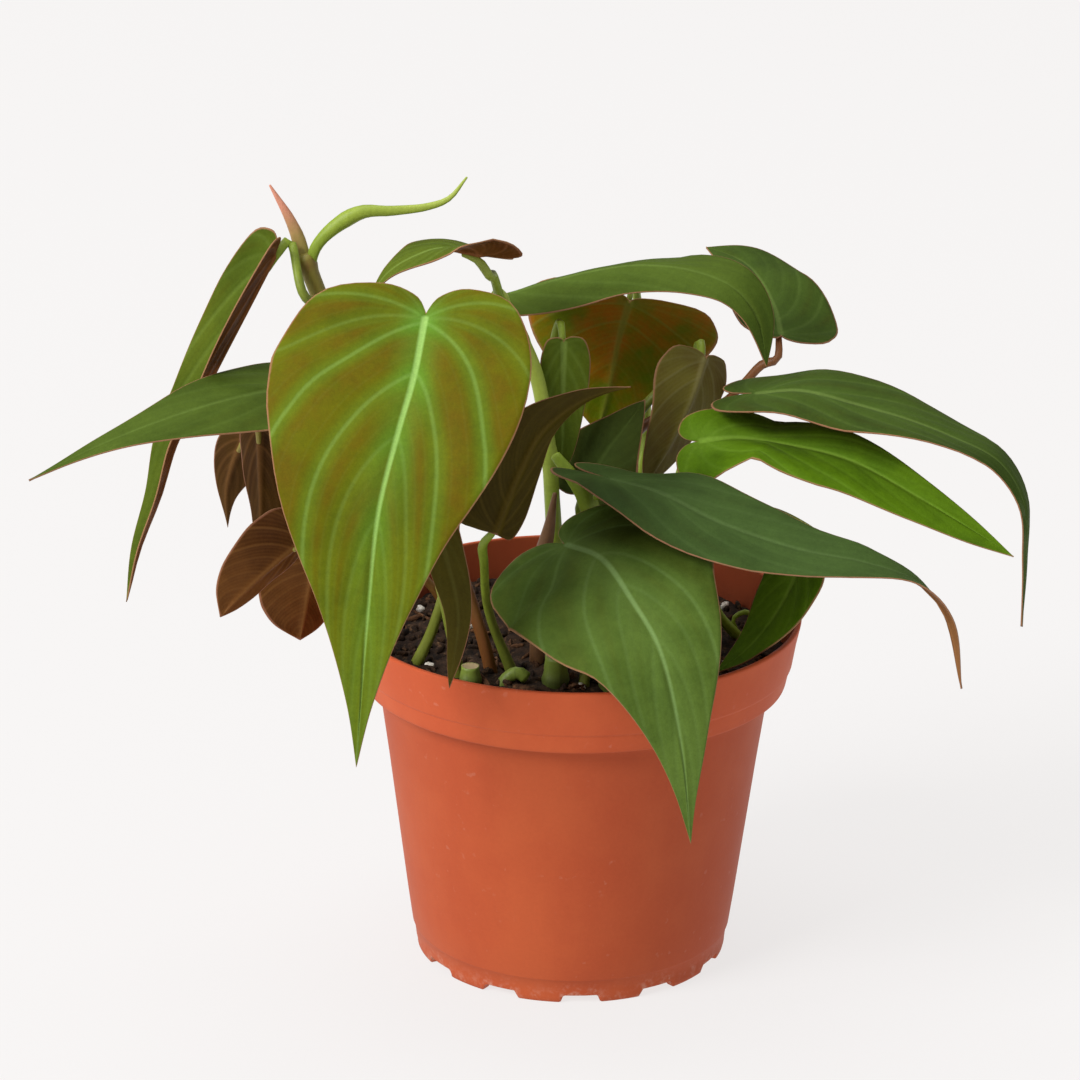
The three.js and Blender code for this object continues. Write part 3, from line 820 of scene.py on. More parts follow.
class Side(Enum):
    """The two halves of a blade, on either side of its rib."""

    FIRST = 1
    SECOND = -1

    @property
    def place(self) -> int:
        """The half's place in a leaf's pairs of sizes."""
        return 0 if self is Side.FIRST else 1


@dataclass(frozen=True)
class VeinPlan:
    """Where the side veins leave the rib and meet the margin, and how bold each is."""

    feet: Sequence[float] = (0.0, 0.1, 0.22, 0.33, 0.42, 0.545, 0.64, 0.74, 0.84, 1.0)
    ends: Sequence[float] = (0.0, 0.15, 0.31, 0.42, 0.575, 0.72, 0.81, 0.885, 0.95, 1.0)
    boldness: Sequence[float] = (0.0, 0.25, 0.65, 0.45, 1.0, 0.85, 0.4, 0.3, 0.2, 0.0)
    sweep: float = 1.5

    @property
    def count(self) -> int:
        """How many gaps there are between veins."""
        return len(self.feet) - 1

    def share(self, phase: np.ndarray, across: np.ndarray) -> np.ndarray:
        """Where a vein runs.

        Args:
            phase: the vein's number, or a place between two of them.
            across: how far from rib to margin, from 0 to 1.

        Returns:
            The place in the outline's order, from 0 to 1.
        """
        numbers = np.arange(self.count + 1)
        start = np.interp(phase, numbers, self.feet)
        end = np.interp(phase, numbers, self.ends)
        return start + (end - start) * across**self.sweep

    def strength(self, phase: np.ndarray) -> np.ndarray:
        """How bold the vein nearest to PHASE is."""
        return np.interp(phase, np.arange(self.count + 1), self.boldness)


@dataclass(frozen=True)
class Leaf:
    """One leaf: a heart-shaped blade with a sunk rib and quilted veins, on its own petiole.

    The rib runs from the petiole to the tip. FACE is the upper side's direction along it. WIDE,
    FOLD and CURL are for its two halves: half width, and the angles in degrees by which a half
    rises at the rib and on towards the margin, where several are spread evenly along the rib.
    LOBE is how far the base reaches back, FULL how blunt the tip is, WAVE the margin's ripple and
    QUILT how far the skin swells between veins. JOINT is the side that the petiole joins: -1 for
    the underside and 1 for the upper side.
    """

    name: str
    rib: Sequence[Point]
    face: Sequence[Point]
    wide: Pair
    petiole: Sequence[Point]
    finish: LeafFinish
    stalk: StalkFinish = GREEN_STALK
    fold: Sequence[Angle] = (6, 6)
    curl: Sequence[Angle] = (-8, -8)
    lobe: float = 0.08
    wave: float = 0.4
    full: float = 0.0
    quilt: float = 0.3
    stalk_radius: float = 1.1
    joint: int = -1
    veins: VeinPlan = VeinPlan()

    LOBE_SHARE = 0.4  # the part of the outline whose veins all start at the rib's foot
    MIDDLE = 0.6  # thickness at the rib
    EDGE = 0.34  # thickness at the margin
    ROUND = 0.12  # how far the margin's rounding stands out
    GROOVE = (0.3, 1.1)  # depth and width of the sunk rib above
    KEEL = (0.6, 0.8)  # height and width of the raised rib below
    RIDGE = (0.16, 0.45)  # height and width of a raised vein below
    CROWDING = 1.25  # above 1, columns stand closer near the rib
    FORWARD = 1.4  # above 1, the veins' feet stand closer near the petiole
    RISE = (0.02, 0.2)  # where the quilting begins, on the way from rib to margin
    FALL = (0.78, 1)  # where it ends
    ROOM = (1, 7)  # it fades out where two veins are nearer to each other than this
    RIPPLE = (13, 1.7)  # how fast the margin ripples, and how far its two sides are apart
    LARGE = 60.0  # a longer blade gets the finer grid
    LARGE_GRID = (7, 24)  # rows between two veins, and columns
    SMALL_GRID = (5, 16)
    TAPER = (1.35, 1.02, 0.95, 0.9, 1.0)  # the petiole's radii from its foot, as shares
    TIP_RADIUS = 0.6
    JOINT_SPOTS = ((-4.0, 4.75), (-0.3, 1.5), (3.5, 0.85))  # ahead of the rib's foot, and off it

    @cached_property
    def spine(self) -> Path:
        """The rib as a curve."""
        return Path(self.rib)

    @property
    def length(self) -> float:
        """The rib's length."""
        return self.spine.length

    def outline(self, share: np.ndarray) -> tuple[np.ndarray, np.ndarray]:
        """The margin from the notch round a lobe to the tip.

        Args:
            share: the place in that order, from 0 to 1.

        Returns:
            The fraction of the length ahead and the fraction of the half width out.
        """

        def blunt(sharp: float, full: float) -> float:
            """A width between that of a sharp tip and that of a full one."""
            return sharp + (full - sharp) * self.full

        marks = np.array(
            [
                (-0.015, 0), (-0.75 * self.lobe, 0.1), (-self.lobe, 0.36), (-0.5 * self.lobe, 0.76),
                (0.1, 0.98), (0.24, 0.97), (0.38, blunt(0.8, 0.97)), (0.54, blunt(0.53, 0.9)),
                (0.7, blunt(0.28, 0.76)), (0.86, blunt(0.1, 0.5)), (1, 0),
            ]
        )
        padded = np.vstack([marks[0], marks, marks[-1]])
        place = np.clip(share, 0, 1) * (len(marks) - 1)
        piece = np.minimum(place.astype(int), len(marks) - 2)
        a, b, c, d = (padded[piece + k] for k in range(4))
        curve = cubic(b, c, (c - a) / 2, (d - b) / 2, (place - piece)[..., None])
        return curve[..., 0], np.maximum(curve[..., 1], 0)

    @staticmethod
    def _angle(angle: Angle, share: np.ndarray) -> np.ndarray:
        """ANGLE in radians at each SHARE of the rib, where several are evenly spread along it."""
        marks = np.atleast_1d(np.asarray(angle, float))
        return np.radians(np.interp(share, np.linspace(0, 1, len(marks)), marks))

    def surface(self, ahead: np.ndarray, out: np.ndarray, side: Side, lift: np.ndarray) -> np.ndarray:
        """Points on or off the blade's mid surface.

        Args:
            ahead: fraction of the rib's length from the petiole.
            out: fraction of the half width from the rib.
            side: which half of the blade.
            lift: distance off the surface, towards the upper side.

        Returns:
            The points in millimetres.
        """
        share = np.clip(ahead, 0, 1)
        along = self.spine.along(share)
        behind = np.minimum(ahead, 0) * self.length
        origin = self.spine.at(share) + along * behind[..., None]
        directions = np.asarray(self.face, float)
        place = share * (len(directions) - 1)
        piece = np.minimum(place.astype(int), len(directions) - 2)
        part = (place - piece)[..., None]
        face = directions[piece] * (1 - part) + directions[piece + 1] * part
        face = unit(face - along * np.sum(face * along, -1, keepdims=True))
        away = np.cross(along, face) * side.value
        fold = self._angle(self.fold[side.place], share)
        curl = self._angle(self.curl[side.place], share)
        mean, tilt = fold + curl * out / 2, np.where(out > 0, fold + curl * out, 0)
        reach = self.wide[side.place] * out
        speed, apart = self.RIPPLE
        ripple = self.wave * np.sin(speed * ahead + apart * side.value) * out * out
        origin = origin + away * (reach * np.cos(mean))[..., None]
        origin = origin + face * (reach * np.sin(mean) + ripple)[..., None]
        upper = face * np.cos(tilt)[..., None] - away * np.sin(tilt)[..., None]
        return origin + upper * np.asarray(lift)[..., None]

    def _half(self, draft: Draft, side: Side, per_gap: int, columns: int) -> None:
        """Adds one half of the blade: its upper skin, its underside and its rounded margin.

        Args:
            draft: the mesh.
            side: which half.
            per_gap: how many rows there are between two veins.
            columns: how many columns there are from rib to margin.
        """
        rows = self.veins.count * per_gap
        phase = np.linspace(0, self.veins.count, rows + 1)[:, None]
        across = (np.linspace(0, 1, columns + 1) ** self.CROWDING)[None, :]
        phase, across = np.broadcast_arrays(phase, across)
        share = self.veins.share(phase, across)
        edge_ahead, edge_out = self.outline(share)
        root = np.clip((share - self.LOBE_SHARE) / (1 - self.LOBE_SHARE), 0, 1) ** self.FORWARD
        ahead = root + (edge_ahead - root) * across
        out = edge_out * across
        flat = self.surface(ahead, out, side, np.zeros_like(out))
        down = np.gradient(flat, phase[:, 0], axis=0)
        course = unit(np.gradient(flat, axis=1))
        pitch = np.linalg.norm(np.cross(down, course), axis=-1)
        rib_gap = np.hypot(out * self.wide[side.place], np.minimum(ahead, 0) * self.length)
        rim_gap = np.linalg.norm(flat - flat[:, -1:], axis=-1)
        bold = self.veins.strength(phase)
        on_blade = np.clip(ahead, 0, 1)
        inner, outer = smooth(across, *self.RISE), 1 - smooth(across, *self.FALL)
        window = inner * outer * smooth(pitch, *self.ROOM)
        swell = self.quilt * np.abs(np.sin(math.pi * phase)) ** 0.8 * window
        half = (self.MIDDLE + (self.EDGE - self.MIDDLE) * across) / 2
        groove = bump_of(self.GROOVE, rib_gap) * (1 - 0.7 * on_blade)
        keel = bump_of(self.KEEL, rib_gap) * (1 - 0.85 * on_blade)
        vein_gap = np.abs(phase - np.round(phase)) * pitch
        ridge = bump_of(self.RIDGE, vein_gap) * bold * window
        top = self.surface(ahead, out, side, swell + half - groove)
        under = self.surface(ahead, out, side, swell - half - keel - ridge)
        vein = np.stack([phase, pitch, bold], -1)
        blade = np.stack([rib_gap, on_blade, rim_gap], -1)
        turned = side is Side.SECOND
        draft.grid(top, (vein, blade), turned)
        draft.grid(under, (vein, blade), not turned, slot=1)
        rim = flat[:, -1] + unit(flat[:, -1] - flat[:, -2]) * self.ROUND
        rim[[0, -1]] = (top[[0, -1], -1] + under[[0, -1], -1]) / 2
        strip = np.stack([top[:, -1], rim, under[:, -1]], 1)
        thin = [np.stack([v[:, -1]] * 3, 1) for v in (vein, blade)]
        draft.grid(strip, thin, turned)

    def build(self) -> None:
        """Makes the blade and its petiole and ties them to the frame."""
        draft = Draft(("vein", "blade"))
        size = self.LARGE_GRID if self.length > self.LARGE else self.SMALL_GRID
        for side in Side:
            self._half(draft, side, *size)
        blade = draft.make(f"{self.name}_blade", finish_of(self.finish))
        settle(blade, self.finish.slot, f"leaf_{self.name}")
        Stalk(
            name=f"{self.name}_petiole", node=f"petiole_{self.name}",
            points=[*self.petiole, *self._joint()], finish=self.stalk,
            radii=(*(self.stalk_radius * share for share in self.TAPER), self.TIP_RADIUS),
        ).build()

    def _joint(self) -> list[Point]:
        """Where the petiole turns into the rib, on the side it joins.

        Returns:
            The last three points of the petiole.
        """
        ahead, lift = np.array(self.JOINT_SPOTS).T
        spots = self.surface(ahead / self.length, np.zeros(3), Side.FIRST, lift * self.joint)
        return [tuple(spot) for spot in spots]


# ---------------------------------------------------------------- stalks


@dataclass(frozen=True)
class Stalk:
    """A round stalk along a curve: a vine, a petiole, a sheath or a cut stub.

    RADII are evenly spread from foot to top. KNOTS are shares of the length where a node swells.
    """

    name: str
    node: str
    points: Sequence[Point]
    radii: Sequence[float]
    finish: StalkFinish
    knots: Sequence[float] = ()
    knot_rise: float = 0.5
    cut_top: bool = False
    flat: float = 1.0
    sides: int = 20

    STEP = 1.6  # length of skin between two rings
    FEWEST = 12  # steps on the shortest stalk
    KNOT_WIDTH = 1.4
    FOOT_DOME = 0.4  # how far each end stands out, in radii
    TOP_DOME = 0.7
    CUT_DIP = 0.25  # how far a cut face is sunk

    def build(self) -> None:
        """Makes the stalk and ties it to the frame."""
        path = Path(self.points)
        steps = max(self.FEWEST, int(path.length / self.STEP))
        share = np.linspace(0, 1, steps + 1)
        centre, along = path.at(share), path.along(share)
        radius = np.interp(share, np.linspace(0, 1, len(self.radii)), self.radii)
        knot = np.zeros_like(share)
        for place in self.knots:
            gap = (share - place) * path.length
            knot = np.maximum(knot, bump_of((1.0, self.KNOT_WIDTH), gap))
        radius = radius + self.knot_rise * knot
        across = self._carry(along)
        over = np.cross(along, across)
        turn = np.linspace(0, 2 * math.pi, self.sides, endpoint=False)
        rings = []
        for i in range(steps + 1):
            ring = across[i] * np.cos(turn)[:, None] + over[i] * np.sin(turn)[:, None] * self.flat
            wobble = 1 + 0.03 * np.sin(3 * turn + share[i] * 9) + 0.02 * np.sin(5 * turn - share[i] * 23)
            rings.append(centre[i] + ring * (radius[i] * wobble)[:, None])
        body = np.stack(rings, 1)
        values = np.zeros((self.sides, steps + 1, 3))
        values[..., 0], values[..., 1] = share, knot
        draft = Draft(("stalk",))
        draft.grid(body, (values,), True, closed=True)
        rise = -self.CUT_DIP if self.cut_top else radius[-1] * self.TOP_DOME
        foot_tip = centre[0] - along[0] * radius[0] * self.FOOT_DOME
        self._cap(draft, body[:, 0], foot_tip, 0.0, False)
        self._cap(draft, body[:, -1], centre[-1] + along[-1] * rise, float(self.cut_top), True)
        made = draft.make(self.name, finish_of(self.finish))
        settle(made, self.finish.slot, self.node)

    @staticmethod
    def _carry(along: np.ndarray) -> np.ndarray:
        """Finds a direction across each ring.

        Args:
            along: the curve's directions.

        Returns:
            Directions across it that turn as little as they can.
        """
        start = np.cross(along[0], (0, 1, 0) if abs(along[0][1]) < 0.9 else (1, 0, 0))
        held = [unit(start)]
        for step in along[1:]:
            last = held[-1] - step * np.dot(held[-1], step)
            held.append(unit(last))
        return np.array(held)

    def _cap(self, draft: Draft, ring: np.ndarray, tip: np.ndarray, cut: float, top: bool) -> None:
        """Closes an end with a domed or cut face.

        Args:
            draft: the mesh.
            ring: the end's points.
            tip: the end's middle point.
            cut: 1 for a cut face, 0 for skin.
            top: whether this is the top end.
        """
        middle = ring.mean(0)
        rows = []
        for share in (0.0, 0.35, 0.7, 1.0):
            level = middle + (tip - middle) * math.sin(share * math.pi / 2)
            rows.append(level + (ring - middle) * math.cos(share * math.pi / 2))
        places = np.stack(rows, 1)
        values = np.zeros_like(places)
        values[..., 0] = float(top)
        values[..., 2] = cut * np.array([0.3, 1, 1, 1])
        draft.grid(places, (values,), top, closed=True)


# ---------------------------------------------------------------- pot and soil


@dataclass(frozen=True)
class Pot:
    """The thin moulded nursery pot: collar, stepped wall, recessed floor and a ring of feet."""

    height: float = 85.3
    rim: float = 54.0
    collar_foot: float = 50.8
    collar_foot_z: float = 69.2
    collar_step_z: float = 74.0
    body_top: float = 47.0
    base: float = 37.5
    wall: float = 1.3
    floor_top: float = 3.6
    floor_under: float = 2.2
    step_z: float = 6.0
    feet: int = 12
    gap_degrees: float = 15.0
    gap_depth: float = 2.0
    first_foot: float = -71.0
    gate: float = 6.0
    drains: int = 6
    drain_radius: float = 3.2
    drain_circle: float = 25.0
    columns: int = 480
    finish: PotFinish = PotFinish()

    LIFTED = range(8, 17)  # the profile's marks that a gap in the foot ring cuts away
    FOOT = range(8, 18)  # the foot ring's marks, which are scuffed
    INSIDE = 38  # the first mark on the pot's inside
    SLOPE = 1.5  # degrees over which a gap's side rises
    DRAIN_TURN = 30  # the first drain hole's angle, in degrees
    DRILL = (-3.0, 9.0)  # the heights between which a drain hole is cut
    DRILL_SIDES = 32

    def profile(self) -> np.ndarray:
        """The wall's section from the middle of the underside round to the middle of the floor.

        Returns:
            Radius and height of each mark.
        """
        inside = self.rim - self.wall
        foot = self.collar_foot
        marks = [
            (0, 0), (self.gate - 0.4, 0), (self.gate, 0.25), (self.gate + 0.4, self.floor_under),
            (15, self.floor_under), (20, self.floor_under), (26, self.floor_under), (31, self.floor_under),
            (self.base - 2.4, self.floor_under), (self.base - 2.2, 0.3), (self.base - 1.9, 0),
            (self.base - 0.3, 0), (self.base, 0.3), (self.base + 0.2, 1.2), (self.base + 0.25, 2.1),
            (self.base + 0.35, 3), (self.base + 0.7, self.step_z - 0.15),
            (self.base + 1.0, self.step_z + 0.1),
            (self.base + 1.15, self.step_z + 0.5), (self.base + 2.2, 14), (self.base + 4.5, 32),
            (self.base + 6.8, 50), (self.body_top - 0.5, 66), (self.body_top, self.collar_foot_z - 0.5),
            (self.body_top + 0.35, self.collar_foot_z), (foot - 0.6, self.collar_foot_z),
            (foot - 0.15, self.collar_foot_z + 0.15), (foot, self.collar_foot_z + 0.6),
            (foot + 0.8, self.collar_step_z - 0.35), (foot + 0.86, self.collar_step_z - 0.1),
            (foot + 1.2, self.collar_step_z + 0.15), (foot + 1.32, self.collar_step_z + 0.5),
            (foot + 2.2, 80), (self.rim - 0.06, self.height - 0.8), (self.rim, self.height - 0.4),
            (self.rim - 0.12, self.height - 0.1), (self.rim - 0.4, self.height),
            (inside + 0.4, self.height), (inside + 0.1, self.height - 0.12), (inside, self.height - 0.5),
            (foot - self.wall + 1.4, 76), (foot - self.wall + 0.4, self.collar_foot_z + 1.4),
            (self.body_top - self.wall - 0.1, self.collar_foot_z - 0.4), (self.base + 4, 40),
            (self.base - self.wall + 0.5, self.floor_top + 1.2),
            (self.base - self.wall - 0.9, self.floor_top), (20, self.floor_top), (0, self.floor_top),
        ]
        return np.array(marks, float)

    def _lift(self, turn: np.ndarray) -> np.ndarray:
        """How far the foot ring is cut away.

        Args:
            turn: the angles round the pot, in degrees.

        Returns:
            The height of the gap at each of them, 0 on a foot.
        """
        spacing = 360 / self.feet
        place = (turn - self.first_foot - spacing / 2) / spacing
        which = np.round(place)
        gap = np.abs(place - which) * spacing
        ragged = 0.25 * np.sin(which * 2.3) + 0.12 * np.sin(turn * 0.7)
        edge = self.gap_degrees / 2 + ragged
        return self.gap_depth * (1 - smooth(gap, edge - self.SLOPE, edge))

    def build(self) -> None:
        """Makes the pot with its drain holes and ties it to the frame."""
        section = self.profile()
        turn = np.linspace(0, 360, self.columns, endpoint=False)
        lift = self._lift(turn)
        angle = np.radians(turn)
        places = np.zeros((self.columns, len(section), 3))
        values = np.zeros_like(places)
        for k, (radius, level) in enumerate(section):
            places[:, k, 0] = radius * np.cos(angle)
            places[:, k, 1] = radius * np.sin(angle)
            places[:, k, 2] = np.maximum(level, lift) if k in self.LIFTED else level
            values[:, k, 0] = float(k >= self.INSIDE)
            values[:, k, 1] = level
            if k in self.FOOT:
                low = np.clip(1.2 - level / 3.5, 0, 1)
                values[:, k, 2] = low * (0.35 + 0.65 * np.clip(lift, 0, 1))
        draft = Draft(("pot",))
        draft.grid(places, (values,), closed=True)
        pot = draft.make("nursery_pot", finish_of(self.finish))
        self._drill(pot)
        settle(pot, self.finish.slot, "pot")

    def _drill(self, pot: bpy.types.Object) -> None:
        """Cuts the drain holes through the floor.

        Args:
            pot: the pot, whose mesh is replaced.
        """
        turn = np.linspace(0, 2 * math.pi, self.DRILL_SIDES, endpoint=False)
        draft = Draft()
        for i in range(self.drains):
            angle = math.radians(i * 360 / self.drains + self.DRAIN_TURN)
            middle = np.array([math.cos(angle), math.sin(angle), 0]) * self.drain_circle
            ring = np.stack([np.cos(turn), np.sin(turn), np.zeros_like(turn)], -1)
            ring = ring * self.drain_radius + middle
            column = np.stack([ring + (0, 0, z) for z in self.DRILL], 1)
            draft.grid(column, closed=True)
            low = [draft.point(p) for p in column[:, 0]]
            high = [draft.point(p) for p in column[:, 1]]
            draft.face(low[::-1])
            draft.face(high)
        cutter = draft.make("drain_cutter", [])
        cut = pot.modifiers.new("drains", "BOOLEAN")
        cut.operation, cut.solver, cut.object = "DIFFERENCE", "EXACT", cutter
        bpy.context.view_layer.update()
        graph = bpy.context.evaluated_depsgraph_get()
        drilled = bpy.data.meshes.new_from_object(pot.evaluated_get(graph))
        pot.modifiers.clear()
        pot.data = drilled
        bpy.data.objects.remove(cutter)


@dataclass(frozen=True)
class Soil:
    """The potting mix: a rough crumbly surface with bark strips, clods and perlite on it."""

    level: float = 76.0
    rough: float = 1.1
    edge: float = 51.2
    facets: int = 144
    rings: int = 58
    bark: int = 150
    clods: int = 420
    grains: int = 46
    seed: int = 7

    CRUMBS = 0.32  # how close together the surface's crumbs are
    DROP = 1.6  # how far the outermost ring lies below the surface
    BALL = ((49.2, 71.4), (45.2, 69.3), (36.2, 5.2), (0, 3.9))  # radius and height under the edge
    STREWN = 49.0  # how far from the middle a lump may lie
    LIMIT = 50.6  # how far out a lump may reach
    LUMP = (7, 5)  # faces round a lump and along it

    def height(self, radius: float, turn: float) -> float:
        """The surface's height, before its crumbs.

        Args:
            radius: distance from the middle.
            turn: the angle round the pot, in radians.

        Returns:
            The height.
        """
        swell = math.sin(3 * turn + 0.6) * 0.5 + math.cos(5 * turn + radius * 0.3) * 0.4
        rise = 0.7 * math.cos(radius * 0.16 + 1.1)
        return self.level + self.rough * min(radius / 16, 1) * swell + rise

    def _top(self) -> np.ndarray:
        """The crumbly surface and the ball under it.

        Returns:
            The points, columns by rings by 3.
        """
        rings = np.append(np.linspace(0, self.edge - 1.2, self.rings), self.edge - 0.5)
        places = np.zeros((self.facets, len(rings) + len(self.BALL), 3))
        for i in range(self.facets):
            turn = 2 * math.pi * i / self.facets
            flat = (math.cos(turn), math.sin(turn))
            for k, radius in enumerate(rings):
                spot = Vector((radius * flat[0], radius * flat[1], 0)) * self.CRUMBS
                crumb = noise.fractal(spot, 0.9, 2.2, 4) * 0.9 + abs(noise.noise(spot * 2.7)) * 0.7
                low = self.DROP if k == self.rings else 0.0
                level = self.height(radius, turn if radius else 0) + crumb * (radius > 0) - low
                places[i, k] = (radius * flat[0], radius * flat[1], level)
            for k, (radius, level) in enumerate(self.BALL, len(rings)):
                places[i, k] = (radius * flat[0], radius * flat[1], level)
        return places

    def _chip(
        self, draft: Draft, middle: np.ndarray, size: Point, turn: np.ndarray, rng: np.random.Generator
    ) -> None:
        """Adds one rough lump.

        Args:
            draft: the mesh.
            middle: its centre.
            size: its half lengths.
            turn: a 3 by 3 turning matrix.
            rng: the source of its roughness.
        """
        columns, rows = self.LUMP
        shape = np.zeros((columns, rows + 1, 3))
        bend = rng.uniform(-0.5, 0.5)
        for i in range(columns):
            around = 2 * math.pi * i / columns
            for j in range(rows + 1):
                down = math.pi * j / rows
                ring = math.sin(down) ** 0.6 if 0 < j < rows else 0.0
                shape[i, j] = (math.cos(down), ring * math.cos(around), ring * math.sin(around))
                if 0 < j < rows:
                    shape[i, j] *= rng.uniform(0.78, 1.12)
        shape[..., 2] += bend * shape[..., 0] ** 2
        draft.grid((shape * size) @ turn.T + middle, closed=True)

    def _scatter(
        self, name: str, finish: CrumbFinish, count: int, low: Point, high: Point, seed: int
    ) -> None:
        """Strews lumps over the surface, as one piece.

        Args:
            name: the piece's name.
            finish: its finish.
            count: how many lumps there are.
            low: the smallest half lengths.
            high: the largest half lengths.
            seed: where the random numbers start.
        """
        rng = np.random.default_rng(seed)
        draft = Draft()
        for _ in range(count):
            radius = self.STREWN * math.sqrt(rng.uniform(0.01, 1))
            angle = rng.uniform(0, 2 * math.pi)
            size = rng.uniform(low, high)
            radius = min(radius, self.LIMIT - size[0])
            tilt = rng.uniform(-0.5, 0.5)
            spin = rng.uniform(0, 2 * math.pi)
            turning = Matrix.Rotation(spin, 3, "Z") @ Matrix.Rotation(tilt, 3, "Y")
            turning = turning @ Matrix.Rotation(rng.uniform(0, 6), 3, "X")
            lift = self.height(radius, angle) + size[2] * 0.35 + abs(math.sin(tilt)) * size[0] * 0.5
            middle = np.array([radius * math.cos(angle), radius * math.sin(angle), lift])
            self._chip(draft, middle, size, np.array(turning), rng)
        settle(draft.make(name, finish_of(finish)), "soil")

    def build(self) -> None:
        """Makes the soil and what lies on it and ties them to the frame."""
        draft = Draft()
        draft.grid(self._top(), closed=True)
        settle(draft.make("potting_soil", finish_of(SOIL)), "soil", "soil")
        self._scatter("bark_strips", BARK, self.bark, (1.2, 0.5, 0.25), (4.2, 1.2, 0.5), self.seed)
        self._scatter("soil_clods", SOIL, self.clods, (0.7, 0.6, 0.5), (1.8, 1.5, 1.1), self.seed + 1)
        self._scatter("perlite", PERLITE, self.grains, (0.6, 0.6, 0.5), (1.5, 1.3, 1.1), self.seed + 2)


# ---------------------------------------------------------------- the plant


